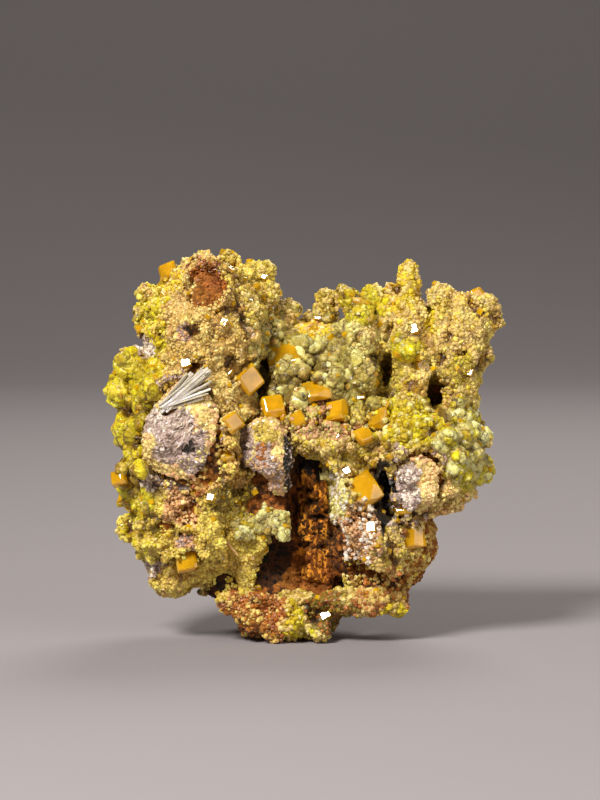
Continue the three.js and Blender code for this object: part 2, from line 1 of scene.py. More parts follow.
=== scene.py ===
"""A pyromorphite specimen: the looks of a palm-size piece of ironstone and of the crystals that grew on it.

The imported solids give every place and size. Each body of rock or crust here stands for the solid of the same
mineral, and grains, specks and blades grow on it. Lengths are in metres, and MM turns millimetres into them.
"""

from __future__ import annotations

import logging
import math
from contextlib import contextmanager
from dataclasses import dataclass, field
from enum import Enum
from typing import Callable, ClassVar, Iterator, Sequence

import bmesh
import bpy
import numpy as np
from mathutils import Matrix, Vector, noise
from mathutils.bvhtree import BVHTree

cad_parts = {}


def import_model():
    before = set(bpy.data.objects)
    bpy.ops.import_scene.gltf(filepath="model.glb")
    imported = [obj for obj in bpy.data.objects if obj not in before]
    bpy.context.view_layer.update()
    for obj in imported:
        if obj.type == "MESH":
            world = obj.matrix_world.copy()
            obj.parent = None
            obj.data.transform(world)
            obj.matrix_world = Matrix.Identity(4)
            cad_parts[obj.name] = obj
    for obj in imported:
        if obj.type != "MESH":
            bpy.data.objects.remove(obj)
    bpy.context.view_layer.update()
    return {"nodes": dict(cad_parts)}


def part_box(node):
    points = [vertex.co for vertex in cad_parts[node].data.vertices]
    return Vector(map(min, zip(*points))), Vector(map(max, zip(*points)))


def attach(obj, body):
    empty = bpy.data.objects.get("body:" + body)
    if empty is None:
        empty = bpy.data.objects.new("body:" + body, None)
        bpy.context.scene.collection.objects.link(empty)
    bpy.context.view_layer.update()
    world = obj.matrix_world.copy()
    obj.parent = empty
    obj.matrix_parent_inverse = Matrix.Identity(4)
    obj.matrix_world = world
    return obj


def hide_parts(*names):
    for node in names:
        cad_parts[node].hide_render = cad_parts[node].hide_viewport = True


log = logging.getLogger("specimen")

MM = 0.001
BODY = "root"
SEED = 20

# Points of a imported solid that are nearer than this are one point.
WELD = 1e-7

# A crust's own back lies this far below the surface of the rock behind it, where the rock is this near.
ROOTED = 0.5 * MM
BACKING = 0.9 * MM

# No grain takes root lower than this on the crust, or on bare rock.
LOWEST_GRAIN = 0.3 * MM
LOWEST_CRUMB = 0.4 * MM

Colour = tuple[float, float, float]


def linear(red: int, green: int, blue: int) -> Colour:
    """Turns a display colour, each part from 0 to 255, into linear RGB."""
    parts = (part / 255.0 for part in (red, green, blue))
    return tuple(p / 12.92 if p <= 0.04045 else ((p + 0.055) / 1.055) ** 2.4 for p in parts)


class Tint(Enum):
    """The colours of the specimen, as linear RGB."""

    LIME = linear(205, 184, 18)
    YELLOW = linear(226, 188, 44)
    OLIVE = linear(188, 162, 60)
    # A dark olive, also painted into clefts and vugs as painted shade.
    MOSS = linear(124, 104, 34)
    SAGE = linear(176, 162, 86)
    MINT = linear(220, 208, 126)
    BUFF = linear(222, 190, 114)
    TAN = linear(208, 168, 92)
    STRAW = linear(234, 202, 92)
    PEACH = linear(252, 198, 132)
    PINK = linear(208, 156, 112)
    LILAC = linear(168, 145, 138)
    WHITE = linear(240, 222, 204)
    HONEY = linear(240, 178, 8)
    GOLD = linear(232, 146, 40)
    AMBER = linear(126, 66, 8)
    RUST = linear(156, 92, 32)
    UMBER = linear(70, 36, 8)
    # Near black: dark cracks and specks, and painted shade in crevices and at the top of the hollow.
    SOOT = linear(22, 12, 4)


class Habit(Enum):
    """The forms that a small crystal grows in."""

    BALL = "knob of several crystals"
    PEARL = "rounder ball"
    BLOCK = "broken block"
    PLATE = "blade on its end"
    TABLET = "square tablet"
    NEEDLE = "slim prism"


@dataclass(frozen=True)
class Zone:
    """A stretch of the display face with grains of one kind, an ellipse in the front view.

    Attributes:
        tint: The colour of most of its grains.
        at: The middle, across and up, in millimetres.
        half: The half sizes, in millimetres.
        size: The width of its grains, in millimetres.
        habit: The form of its grains.
        strength: How firmly it holds against its neighbours.
        second: A colour that some of its grains have instead.
        share: How many of them.
    """

    tint: Tint
    at: tuple[float, float]
    half: tuple[float, float]
    size: float = 0.62
    habit: Habit = Habit.BALL
    strength: float = 1.0
    second: Tint = Tint.BUFF
    share: float = 0.2


CRUST_ZONES = (
    Zone(Tint.TAN, (-12.6, 39.6), (8.6, 8.0), 0.42, Habit.BALL, 0.9, Tint.BUFF, 0.45),
    Zone(Tint.RUST, (-11.9, 43.4), (2.9, 3.2), 0.42, Habit.BLOCK, 1.5, Tint.AMBER, 0.35),
    Zone(Tint.LILAC, (-14.6, 38.2), (1.6, 1.5), 0.38, Habit.BLOCK, 1.25, Tint.PINK, 0.5),
    Zone(Tint.YELLOW, (-16.6, 43.8), (2.2, 1.8), 0.48, Habit.BALL, 1.15, Tint.BUFF, 0.35),
    Zone(Tint.LIME, (-18.6, 39.2), (2.4, 3.9), 0.60, Habit.BALL, 1.3, Tint.STRAW, 0.4),
    Zone(Tint.WHITE, (-19.8, 36.0), (1.5, 1.5), 0.42, Habit.BLOCK, 1.4, Tint.LILAC, 0.4),
    Zone(Tint.STRAW, (-8.0, 45.0), (3.4, 2.6), 0.52, Habit.BALL, 1.15, Tint.OLIVE, 0.4),
    Zone(Tint.OLIVE, (-5.8, 41.6), (3.2, 4.4), 0.58, Habit.BALL, 1.1, Tint.BUFF, 0.5),
    Zone(Tint.SAGE, (-5.0, 38.0), (2.6, 3.2), 0.80, Habit.PEARL, 1.2, Tint.BUFF, 0.35),
    Zone(Tint.LIME, (-21.0, 29.8), (3.6, 6.4), 1.35, Habit.PEARL, 1.35, Tint.YELLOW, 0.15),
    Zone(Tint.LIME, (-20.4, 23.4), (3.0, 3.6), 1.40, Habit.PEARL, 1.35, Tint.OLIVE, 0.2),
    Zone(Tint.LIME, (-20.6, 17.8), (2.4, 3.6), 0.95, Habit.PEARL, 1.2, Tint.OLIVE, 0.3),
    Zone(Tint.STRAW, (-21.0, 12.8), (3.0, 3.2), 0.58, Habit.BALL, 1.1, Tint.LIME, 0.4),
    Zone(Tint.LILAC, (-15.0, 25.6), (6.4, 7.8), 0.42, Habit.BLOCK, 0.93, Tint.BUFF, 0.5),
    Zone(Tint.BUFF, (-9.0, 30.6), (3.4, 6.8), 0.42, Habit.BALL, 1.0, Tint.TAN, 0.4),
    Zone(Tint.TAN, (-9.4, 21.6), (2.8, 4.4), 0.42, Habit.BLOCK, 1.0, Tint.STRAW, 0.35),
    Zone(Tint.STRAW, (-11.8, 12.4), (8.6, 7.2), 0.46, Habit.BALL, 0.95, Tint.OLIVE, 0.35),
    Zone(Tint.PINK, (-15.2, 16.4), (2.4, 2.9), 0.44, Habit.BLOCK, 1.35, Tint.PEACH, 0.3),
    Zone(Tint.STRAW, (-16.4, 7.4), (3.0, 2.8), 0.50, Habit.BALL, 1.1, Tint.TAN, 0.35),
    Zone(Tint.LILAC, (-18.4, 9.0), (1.7, 1.2), 0.40, Habit.BLOCK, 1.3, Tint.WHITE, 0.3),
    Zone(Tint.LILAC, (-14.2, 12.6), (1.6, 1.4), 0.40, Habit.BLOCK, 1.25, Tint.PINK, 0.5),
    Zone(Tint.LILAC, (-19.2, 20.0), (1.3, 1.3), 0.40, Habit.BLOCK, 1.5, Tint.WHITE, 0.4),
    Zone(Tint.MOSS, (-9.6, 17.6), (2.8, 2.6), 0.46, Habit.BALL, 1.2, Tint.OLIVE, 0.5),
    Zone(Tint.TAN, (-12.6, 20.4), (1.5, 2.4), 0.42, Habit.BLOCK, 1.2, Tint.RUST, 0.5),
    Zone(Tint.MOSS, (-18.6, 14.8), (1.4, 1.6), 0.46, Habit.BALL, 1.2, Tint.OLIVE, 0.5),
    Zone(Tint.SAGE, (1.6, 33.6), (8.4, 6.4), 1.05, Habit.PEARL, 1.0, Tint.MINT, 0.25),
    # A cleft beside the valley, painted dark olive as painted shade.
    Zone(Tint.MOSS, (-4.6, 32.2), (1.6, 3.4), 0.60, Habit.PEARL, 1.3, Tint.SAGE, 0.3),
    Zone(Tint.OLIVE, (6.0, 28.4), (2.2, 1.8), 0.60, Habit.PEARL, 1.1, Tint.SAGE, 0.4),
    Zone(Tint.YELLOW, (0.6, 37.8), (2.6, 1.4), 0.52, Habit.BALL, 1.2, Tint.PEACH, 0.4),
    Zone(Tint.MINT, (6.4, 36.0), (1.9, 3.4), 0.52, Habit.BALL, 1.2, Tint.BUFF, 0.4),
    Zone(Tint.OLIVE, (2.2, 41.2), (1.8, 1.6), 0.60, Habit.BALL, 1.2, Tint.BUFF, 0.4),
    Zone(Tint.LIME, (6.8, 41.2), (2.8, 2.6), 0.90, Habit.PEARL, 1.2, Tint.YELLOW, 0.3),
    Zone(Tint.PINK, (0.4, 27.6), (6.6, 2.8), 0.46, Habit.BALL, 1.05, Tint.SAGE, 0.5),
    # A vug left of the tower, partly painted dark olive as painted shade.
    Zone(Tint.OLIVE, (9.8, 32.4), (1.5, 3.6), 0.50, Habit.BALL, 1.35, Tint.MOSS, 0.4),
    Zone(Tint.OLIVE, (15.6, 30.2), (1.8, 2.8), 0.46, Habit.BALL, 1.35, Tint.TAN, 0.4),
    Zone(Tint.BUFF, (17.6, 37.6), (7.2, 8.4), 0.54, Habit.BALL, 1.0, Tint.STRAW, 0.4),
    Zone(Tint.YELLOW, (12.0, 42.8), (2.6, 4.0), 0.56, Habit.BALL, 1.15, Tint.BUFF, 0.4),
    Zone(Tint.OLIVE, (18.8, 33.6), (2.2, 2.6), 0.50, Habit.BALL, 1.15, Tint.LIME, 0.4),
    # A notch behind the peak, partly painted dark olive as painted shade.
    Zone(Tint.OLIVE, (16.4, 41.0), (1.8, 1.6), 0.50, Habit.BALL, 1.15, Tint.MOSS, 0.3),
    Zone(Tint.LIME, (12.3, 35.6), (2.4, 2.0), 0.90, Habit.PEARL, 1.3, Tint.MINT, 0.2),
    Zone(Tint.LIME, (15.2, 38.6), (1.6, 2.4), 0.60, Habit.BALL, 1.2, Tint.YELLOW, 0.3),
    Zone(Tint.LIME, (12.4, 27.4), (4.8, 2.8), 0.62, Habit.BALL, 1.15, Tint.MINT, 0.4),
    Zone(Tint.MINT, (18.8, 25.6), (4.0, 3.4), 0.95, Habit.PEARL, 1.1, Tint.LIME, 0.4),
    Zone(Tint.MINT, (19.6, 21.4), (3.4, 2.8), 0.95, Habit.PEARL, 1.1, Tint.LIME, 0.5),
    Zone(Tint.LILAC, (13.0, 19.0), (4.6, 5.6), 0.44, Habit.BLOCK, 0.95, Tint.BUFF, 0.55),
    Zone(Tint.BUFF, (17.4, 17.0), (3.6, 2.6), 0.46, Habit.BLOCK, 1.1, Tint.PEACH, 0.4),
    # A crevice painted near black as painted shade, where no grains grow.
    Zone(Tint.SOOT, (9.2, 18.3), (1.5, 4.0), 0.50, Habit.BLOCK, 1.6, Tint.UMBER, 0.2),
    Zone(Tint.MINT, (3.4, 18.4), (1.6, 3.4), 0.50, Habit.BALL, 1.3, Tint.WHITE, 0.4),
    Zone(Tint.PINK, (6.2, 14.2), (3.0, 4.6), 0.46, Habit.BLOCK, 1.0, Tint.WHITE, 0.35),
    Zone(Tint.MINT, (-4.2, 15.0), (2.6, 2.2), 0.72, Habit.PEARL, 1.5, Tint.BUFF, 0.15),
    Zone(Tint.MINT, (-7.8, 14.4), (1.8, 1.8), 0.62, Habit.PEARL, 1.3, Tint.LIME, 0.3),
    Zone(Tint.RUST, (-6.6, 3.2), (5.2, 3.6), 0.48, Habit.BLOCK, 1.0, Tint.TAN, 0.35),
    Zone(Tint.LIME, (-1.6, 2.6), (2.2, 2.4), 0.58, Habit.BALL, 1.1, Tint.BUFF, 0.4),
    Zone(Tint.MOSS, (2.6, 3.6), (3.6, 3.0), 0.48, Habit.BALL, 0.95, Tint.RUST, 0.4),
    Zone(Tint.TAN, (9.6, 6.0), (4.4, 3.2), 0.50, Habit.BALL, 1.0, Tint.RUST, 0.5),
    Zone(Tint.LIME, (10.6, 3.9), (1.7, 1.7), 0.60, Habit.BALL, 1.2, Tint.BUFF, 0.3),
)
CRUST_ELSEWHERE = Zone(Tint.BUFF, (0.0, 24.0), (30.0, 30.0), 0.55, Habit.BALL, 0.3, Tint.OLIVE, 0.45)

ROCK_ZONES = (
    Zone(Tint.RUST, (-11.9, 43.4), (3.2, 3.4), 0.5, Habit.BLOCK, 1.3, Tint.AMBER, 0.35),
    Zone(Tint.GOLD, (-9.6, 43.4), (0.9, 2.4), 0.5, Habit.BLOCK, 1.5, Tint.RUST, 0.4),
    Zone(Tint.UMBER, (-11.8, 43.0), (1.6, 0.5), 0.5, Habit.BLOCK, 1.4, Tint.RUST, 0.4),
    # The top of the hollow, painted near black as painted shade.
    Zone(Tint.SOOT, (-0.4, 22.6), (4.4, 2.6), 0.5, Habit.BLOCK, 1.2, Tint.UMBER, 0.5),
    Zone(Tint.UMBER, (0.6, 16.2), (4.0, 5.8), 0.5, Habit.BLOCK, 1.35, Tint.AMBER, 0.35),
    Zone(Tint.UMBER, (-5.8, 10.4), (4.4, 4.2), 0.5, Habit.BLOCK, 1.2, Tint.SOOT, 0.4),
    Zone(Tint.UMBER, (-10.6, 6.0), (2.4, 3.0), 0.5, Habit.BLOCK, 1.2, Tint.SOOT, 0.4),
    Zone(Tint.AMBER, (0.2, 8.6), (3.2, 3.4), 0.5, Habit.BLOCK, 1.15, Tint.RUST, 0.25),
    Zone(Tint.AMBER, (7.6, 9.2), (5.2, 3.4), 0.5, Habit.BLOCK, 1.1, Tint.UMBER, 0.5),
    # The crevice, painted near black as painted shade.
    Zone(Tint.SOOT, (9.4, 18.4), (2.2, 5.0), 0.5, Habit.BLOCK, 1.4, Tint.UMBER, 0.3),
    Zone(Tint.TAN, (14.6, 11.8), (4.6, 5.2), 0.5, Habit.BLOCK, 1.0, Tint.RUST, 0.5),
)
ROCK_ELSEWHERE = Zone(Tint.RUST, (0.0, 24.0), (30.0, 30.0), 0.5, Habit.BLOCK, 0.3, Tint.UMBER, 0.4)

QUARTZ_ZONES = (
    Zone(Tint.LILAC, (-15.4, 25.4), (3.7, 4.4), 0.46, Habit.PLATE, 1.0, Tint.WHITE, 0.2),
    Zone(Tint.LILAC, (-13.2, 22.4), (2.6, 2.2), 0.40, Habit.BLOCK, 1.15, Tint.BUFF, 0.35),
    Zone(Tint.LILAC, (-18.0, 27.2), (2.2, 2.6), 0.40, Habit.BLOCK, 1.1, Tint.WHITE, 0.4),
    Zone(Tint.SOOT, (-14.6, 24.2), (0.8, 0.8), 0.50, Habit.PLATE, 1.2, Tint.LILAC, 0.4),
    Zone(Tint.SOOT, (-12.6, 21.6), (1.2, 0.8), 0.50, Habit.PLATE, 1.2, Tint.LILAC, 0.4),
    Zone(Tint.OLIVE, (-5.2, 25.8), (1.9, 1.5), 0.42, Habit.BALL, 1.2, Tint.MOSS, 0.5),
    Zone(Tint.LILAC, (-5.0, 23.4), (1.6, 1.8), 0.42, Habit.BLOCK, 1.1, Tint.RUST, 0.4),
    Zone(Tint.LILAC, (-4.8, 20.8), (2.6, 3.4), 0.44, Habit.BLOCK, 0.9, Tint.PINK, 0.4),
    Zone(Tint.LILAC, (-7.4, 24.8), (1.3, 3.4), 0.50, Habit.PLATE, 1.2, Tint.WHITE, 0.3),
    # A cleft, painted near black as painted shade.
    Zone(Tint.SOOT, (-2.2, 22.6), (0.8, 4.6), 0.40, Habit.BLOCK, 1.25, Tint.LILAC, 0.4),
    Zone(Tint.LILAC, (12.0, 19.0), (2.2, 4.0), 0.42, Habit.BLOCK, 1.0, Tint.WHITE, 0.45),
    Zone(Tint.PEACH, (15.4, 19.6), (1.8, 3.4), 0.42, Habit.BLOCK, 1.2, Tint.BUFF, 0.3),
)
QUARTZ_ELSEWHERE = Zone(Tint.BUFF, (0.0, 24.0), (30.0, 30.0), 0.5, Habit.BALL, 0.5, Tint.PINK, 0.4)

# Where the brightest glints are, across and up in millimetres.
GLINTS = (
    (-9.3, 33.0), (-10.5, 26.6), (-6.9, 27.1), (-9.8, 23.4), (-11.1, 21.5), (-11.6, 18.0), (-14.2, 33.9),
    (-10.0, 39.2), (-5.3, 44.1), (-21.7, 16.3), (-15.4, 9.8), (3.4, 28.4), (4.9, 21.1), (6.7, 30.0),
    (1.5, 39.2), (4.3, 39.5), (13.2, 38.1), (19.8, 32.6), (20.0, 17.1), (7.7, 14.7), (2.4, 3.3),
)

# The ways from the specimen to the camera and to the key light. The glints face halfway between them.
EYE_WAY = Vector((0.0, -1.0, 0.09))
KEY_WAY = Vector((-0.20, -0.34, 0.34))

# The zones follow the display face, and all that lies behind this plane is of one kind.
BACK = 4.5 * MM

# How firmly a zone holds its middle, and where it ends, both in half sizes of its ellipse.
FIRMEST = 1.25
FARTHEST = 1.6

# The width of the bends in the zones' borders, and the step from one zone's pattern of bends to the next.
BEND = 1.7 * MM
PATTERN_STEP = 7.3


def pick(zones: Sequence[Zone], elsewhere: Zone, place: Vector, wander: float) -> Zone:
    """Finds the zone that a place belongs to, with ragged borders.

    Args:
        zones: The zones to choose from.
        elsewhere: The zone of what lies in none of them, or at the back.
        place: A point on the specimen.
        wander: How far the borders stray, as a share of a zone's size.

    Returns:
        The zone that holds the place most firmly.
    """
    if place.y > BACK:
        return elsewhere
    x, z = place.x / MM, place.z / MM
    best, held = elsewhere, elsewhere.strength
    for i, zone in enumerate(zones):
        reach = math.hypot((x - zone.at[0]) / zone.half[0], (z - zone.at[1]) / zone.half[1])
        if reach > FARTHEST:
            continue
        ragged = wander * noise.noise(place / BEND + Vector((i * PATTERN_STEP, 0.0, 0.0)))
        hold = zone.strength * (FIRMEST - reach + ragged)
        if hold > held:
            best, held = zone, hold
    return best


def choose(obj: bpy.types.Object) -> None:
    """Makes an object the only one selected, and the active one."""
    bpy.ops.object.select_all(action="DESELECT")
    obj.select_set(True)
    bpy.context.view_layer.objects.active = obj


@contextmanager
def editing() -> Iterator[None]:
    """Opens edit mode on the active mesh, with all of it selected, and closes it again."""
    bpy.ops.object.mode_set(mode="EDIT")
    bpy.ops.mesh.select_all(action="SELECT")
    yield
    bpy.ops.object.mode_set(mode="OBJECT")


def modify(obj: bpy.types.Object, kind: str, **settings: object) -> None:
    """Adds a modifier to an object and applies it.

    Args:
        obj: The object.
        kind: The modifier's type.
        **settings: Its properties.
    """
    choose(obj)
    bpy.ops.object.modifier_add(type=kind)
    modifier = obj.modifiers[-1]
    for key, value in settings.items():
        setattr(modifier, key, value)
    bpy.ops.object.modifier_apply(modifier=modifier.name)


def refine(obj: bpy.types.Object, voxel: float, ease: float, rounds: int) -> None:
    """Gives a body small even faces and softens its edges.

    Args:
        obj: The body.
        voxel: The width of the faces.
        ease: How far each point moves to the middle of those beside it.
        rounds: How often.
    """
    modify(obj, "REMESH", mode="VOXEL", voxel_size=voxel)
    modify(obj, "SMOOTH", factor=ease, iterations=rounds)


def copy_of(names: Sequence[str], nodes: dict[str, bpy.types.Object], name: str) -> bpy.types.Object:
    """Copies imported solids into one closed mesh.

    Args:
        names: The solids' names.
        nodes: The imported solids.
        name: What to call the copy.

    Returns:
        The joined copy, with its doubled points merged.
    """
    copies = []
    for node in names:
        twin = bpy.data.objects.new(name, nodes[node].data.copy())
        bpy.context.scene.collection.objects.link(twin)
        twin.data.materials.clear()
        copies.append(twin)
    bpy.ops.object.select_all(action="DESELECT")
    for twin in copies:
        twin.select_set(True)
    bpy.context.view_layer.objects.active = copies[0]
    if len(copies) > 1:
        bpy.ops.object.join()
    joined = bpy.context.view_layer.objects.active
    with editing():
        bpy.ops.mesh.remove_doubles(threshold=WELD)
    joined.name = name
    return joined


def points_of(obj: bpy.types.Object) -> np.ndarray:
    """Reads the points of a mesh as rows of three."""
    points = np.zeros(len(obj.data.vertices) * 3, np.float32)
    obj.data.vertices.foreach_get("co", points)
    return points.reshape(-1, 3).astype(float)


def normals_of(obj: bpy.types.Object) -> np.ndarray:
    """Reads the normals at the points of a mesh as rows of three."""
    normals = np.zeros(len(obj.data.vertices) * 3, np.float32)
    obj.data.vertices.foreach_get("normal", normals)
    return normals.reshape(-1, 3).astype(float)


def move_points(obj: bpy.types.Object, points: np.ndarray) -> None:
    """Puts the points of a mesh in new places."""
    obj.data.vertices.foreach_set("co", points.astype(np.float32).ravel())
    obj.data.update()


def unit(rows: np.ndarray) -> np.ndarray:
    """Gives rows of three the length 1."""
    return rows / np.linalg.norm(rows, axis=1)[:, None]


def dome(point: Vector, width: float) -> float:
    """Gives the height of a pattern of fused domes at a point, from 0 in the creases to 1 on top.

    Args:
        point: Where.
        width: The width of a dome.

    Returns:
        The height.
    """
    return math.sqrt(max(0.0, 1.0 - (noise.voronoi(point / width)[0][0] / 0.8) ** 2))


def eased(obj: bpy.types.Object, values: np.ndarray, rounds: int) -> np.ndarray:
    """Evens values out over a mesh, each with those at the points beside it.

    Args:
        obj: The mesh.
        values: A value for each point.
        rounds: How often they are evened out.

    Returns:
        The new values.
    """
    pairs = np.zeros(len(obj.data.edges) * 2, np.int32)
    obj.data.edges.foreach_get("vertices", pairs)
    a, b = pairs.reshape(-1, 2).T
    degree = np.bincount(np.r_[a, b], minlength=len(values)) + 1.0
    for _ in range(rounds):
        total = np.bincount(a, values[b], len(values)) + np.bincount(b, values[a], len(values))
        values = (values + total) / degree
    return values


def tree_of(obj: bpy.types.Object) -> BVHTree:
    """Makes a search tree of a mesh."""
    mesh = obj.data
    return BVHTree.FromPolygons([v.co for v in mesh.vertices], [list(p.vertices) for p in mesh.polygons])


def into_rock(rock: BVHTree, point: Vector, normal: Vector) -> Vector | None:
    """Finds where a point on the back of a crust goes, a little way into the rock that it faces.

    Args:
        rock: The rock.
        point: The point.
        normal: Which way the crust faces there.

    Returns:
        The place, or None for a point that faces no rock nearby.
    """
    near, way, _, _ = rock.find_nearest(point, BACKING)
    if near is None or normal.dot(near - point) <= 0.0:
        return None
    return near - way * ROOTED


def from_the_front(tree: BVHTree, x: float, z: float) -> tuple[Vector, Vector]:
    """Finds the place on a piece that the front view shows at x across and z up, in millimetres.

    Args:
        tree: The piece's search tree.
        x: How far across.
        z: How far up.

    Returns:
        The place and the normal there, both None where the view goes past the piece.
    """
    return tree.ray_cast(Vector((x, -40.0, z)) * MM, Vector((0.0, 1.0, 0.0)))[:2]


def paint(obj: bpy.types.Object, tints: np.ndarray, tips: np.ndarray, chances: np.ndarray) -> None:
    """Stores what the finishes read at each point of a mesh.

    Args:
        obj: The piece.
        tints: A colour for each point.
        tips: How far out of its crust each point stands, from 0 to 1.
        chances: A number from 0 to 1 that all of one grain shares.
    """
    mesh = obj.data
    colour = mesh.attributes.new("tint", "FLOAT_COLOR", "POINT")
    colour.data.foreach_set("color", np.c_[tints, np.ones(len(tints))].astype(np.float32).ravel())
    for name, values in (("tip", tips), ("chance", chances)):
        attribute = mesh.attributes.new(name, "FLOAT", "POINT")
        attribute.data.foreach_set("value", values.astype(np.float32))


class Template:
    """A small crystal, modelled once at unit width and then copied by the thousand.

    Attributes:
        HEIGHTS: How far a crystal's faces lie from its middle, at the least and the most.
        REACH: How far its corners come at the most.
        GRAZING: Below this share a face is too slanted to a ray to stop it.
        ROOT: The level at which a grain is cut off.
    """

    HEIGHTS: ClassVar[tuple[float, float]] = (0.40, 0.48)
    REACH: ClassVar[float] = 0.66
    GRAZING: ClassVar[float] = 0.05
    ROOT: ClassVar[float] = -0.22

    def __init__(self, habit: Habit, detail: int, seed: int) -> None:
        """Models the crystal, a grain 1 wide that stands on its root and points up.

        Args:
            habit: Its form.
            detail: How finely a knob or ball is faceted, from 0 to 2.
            seed: Sets how its facets fall.
        """
        self.detail = detail
        self.seed = seed
        makers = {
            Habit.BALL: self.knob,
            Habit.PEARL: self.pearl,
            Habit.BLOCK: self.block,
            Habit.PLATE: self.plate,
            Habit.TABLET: self.tablet,
            Habit.NEEDLE: self.needle,
        }
        makers[habit]()
        grain = bpy.context.view_layer.objects.active
        modify(grain, "TRIANGULATE")
        self.points = points_of(grain)
        self.faces = np.array(sorted(list(p.vertices) for p in grain.data.polygons))
        low, high = self.points[:, 2].min(), self.points[:, 2].max()
        self.rise = (self.points[:, 2] - low) / (high - low)
        bpy.data.objects.remove(grain)

    def knob(self) -> None:
        """Models a knob of several angular crystals."""
        self.facets(crystals=3, faces=7, spread=0.42)

    def pearl(self) -> None:
        """Models a rounder ball with many low facets."""
        self.facets(crystals=3, faces=26, spread=0.12)

    def facets(self, crystals: int, faces: int, spread: float) -> None:
        """Models crystals that grew through each other, the finer ones cut off at their root.

        Args:
            crystals: How many there are.
            faces: How many faces each has.
            spread: How far their middles lie apart.
        """
        bpy.ops.mesh.primitive_ico_sphere_add(subdivisions=self.detail + 1, radius=1.0)
        cluster = bpy.context.view_layer.objects.active
        draw = np.random.default_rng(SEED + self.seed)
        rays = points_of(cluster)
        reach = np.zeros(len(rays))
        for _ in range(crystals):
            ways = unit(draw.normal(0.0, 1.0, (faces, 3)))
            heights = draw.uniform(*self.HEIGHTS, faces) + ways @ draw.normal(0.0, 0.5 * spread, 3)
            across = rays @ ways.T
            hits = np.where(across > self.GRAZING, heights / np.maximum(across, self.GRAZING), np.inf)
            reach = np.maximum(reach, np.minimum(hits.min(axis=1), self.REACH))
        move_points(cluster, rays * reach[:, None])
        if not self.detail:
            return
        root = (0.0, 0.0, self.ROOT)
        with editing():
            bpy.ops.mesh.bisect(plane_co=root, plane_no=(0.0, 0.0, 1.0), use_fill=True, clear_inner=True)

    def block(self) -> None:
        """Models a broken block."""
        bpy.ops.mesh.primitive_cube_add(size=0.86, location=(0.0, 0.0, 0.1))
        self.taper_top(0.66)

    def plate(self) -> None:
        """Models a thin blade on its end."""
        bpy.ops.mesh.primitive_cube_add(size=1.0, location=(0.0, 0.0, 0.3), scale=(0.8, 0.2, 1.3))
        self.taper_top(0.7)

    def tablet(self) -> None:
        """Models a square tablet that lies flat."""
        bpy.ops.mesh.primitive_cube_add(size=1.0, location=(0.0, 0.0, 0.1))
        self.taper_top(0.86)

    def needle(self) -> None:
        """Models a slim prism."""
        bpy.ops.mesh.primitive_cylinder_add(vertices=5, radius=0.18, depth=2.4, location=(0.0, 0.0, 0.8))
        self.taper_top(0.55)

    def taper_top(self, share: float) -> None:
        """Draws the upper end of the active mesh in with a bevelled shoulder.

        Args:
            share: The width that is left.
        """
        grain = bpy.context.view_layer.objects.active
        bpy.ops.object.transform_apply(location=True, rotation=True, scale=True)
        with editing():
            bpy.ops.mesh.select_mode(type="FACE")
            bpy.ops.mesh.select_all(action="DESELECT")
            edit = bmesh.from_edit_mesh(grain.data)
            edit.faces.ensure_lookup_table()
            top = max(edit.faces, key=lambda face: face.calc_center_median().z)
            top.select = True
            edit.select_flush(True)
            bmesh.update_edit_mesh(grain.data)
            bpy.ops.mesh.extrude_region_move(TRANSFORM_OT_translate={"value": (0.0, 0.0, 0.16)})
            bpy.ops.transform.resize(value=(share, share, 1.0))


class Stock:
    """The templates of every habit, with finer ones for the wider knobs and balls.

    Attributes:
        FINE: The widths above which a knob or ball has the next finer template.
        ROUND: The habits that have finer templates.
        VARIANTS: How many templates there are of each.
    """

    FINE: ClassVar[tuple[float, ...]] = (0.78 * MM, 2.0 * MM)
    ROUND: ClassVar[tuple[Habit, ...]] = (Habit.BALL, Habit.PEARL)
    VARIANTS: ClassVar[int] = 5

    def __init__(self) -> None:
        """Models every template."""
        self.templates = {
            (habit, detail): [Template(habit, detail, seed) for seed in range(self.VARIANTS)]
            for habit in Habit
            for detail in (range(len(self.FINE) + 1) if habit in self.ROUND else (0,))
        }

    def key(self, habit: Habit, width: float) -> tuple[Habit, int]:
        """Gives the key of the templates for a grain of a habit and width."""
        if habit not in self.ROUND:
            return habit, 0
        return habit, sum(width > limit for limit in self.FINE)


@dataclass
class Places:
    """Where grains stand on a surface.

    Attributes:
        points: Where each one stands.
        normals: Which way is up there.
        widths: How wide it is.
        shades: How light its colour is painted, as painted shade, from 0 in a deep crease to 1.
        zones: Which zone it is in.
    """

    points: np.ndarray
    normals: np.ndarray
    widths: np.ndarray
    shades: np.ndarray
    zones: list[Zone]

    def part(self, keep: np.ndarray) -> Places:
        """Picks out some of the places.

        Args:
            keep: True or False for each place.

        Returns:
            Those that are kept.
        """
        zones = [zone for zone, kept in zip(self.zones, keep) if kept]
        kept = (part[keep] for part in (self.points, self.normals, self.widths, self.shades))
        return Places(*kept, zones)


@dataclass(frozen=True)
class Layer:
    """One sowing of grains: first the wide ones, then those that fill the gaps between them.

    Attributes:
        tries: How many places are tried on a square as wide as the usual grain.
        least: The least width, as a share of the zone's grain size.
        most: The greatest.
        spacing: The distance kept from the next grain, as a share of their mean width.
        balls_only: Whether only round balls are sown.
    """

    tries: float
    least: float
    most: float
    spacing: float = 0.6
    balls_only: bool = False


LAYERS = (Layer(0.45, 1.4, 2.1, 0.64, True), Layer(2.2, 0.85, 1.45, 0.64), Layer(3.2, 0.5, 0.85, 0.70))
SPECKS = (Layer(0.06, 0.5, 1.2, 3.0),)
FEET = (Layer(1.6, 0.8, 1.5, 0.62),)

# In painted shades below this nothing grows, and this is what is left of a colour in the deepest crease, as
# painted shade.
BARE_SHADE = 0.12
CREASE_SHADE = np.array((0.28, 0.18, 0.03))


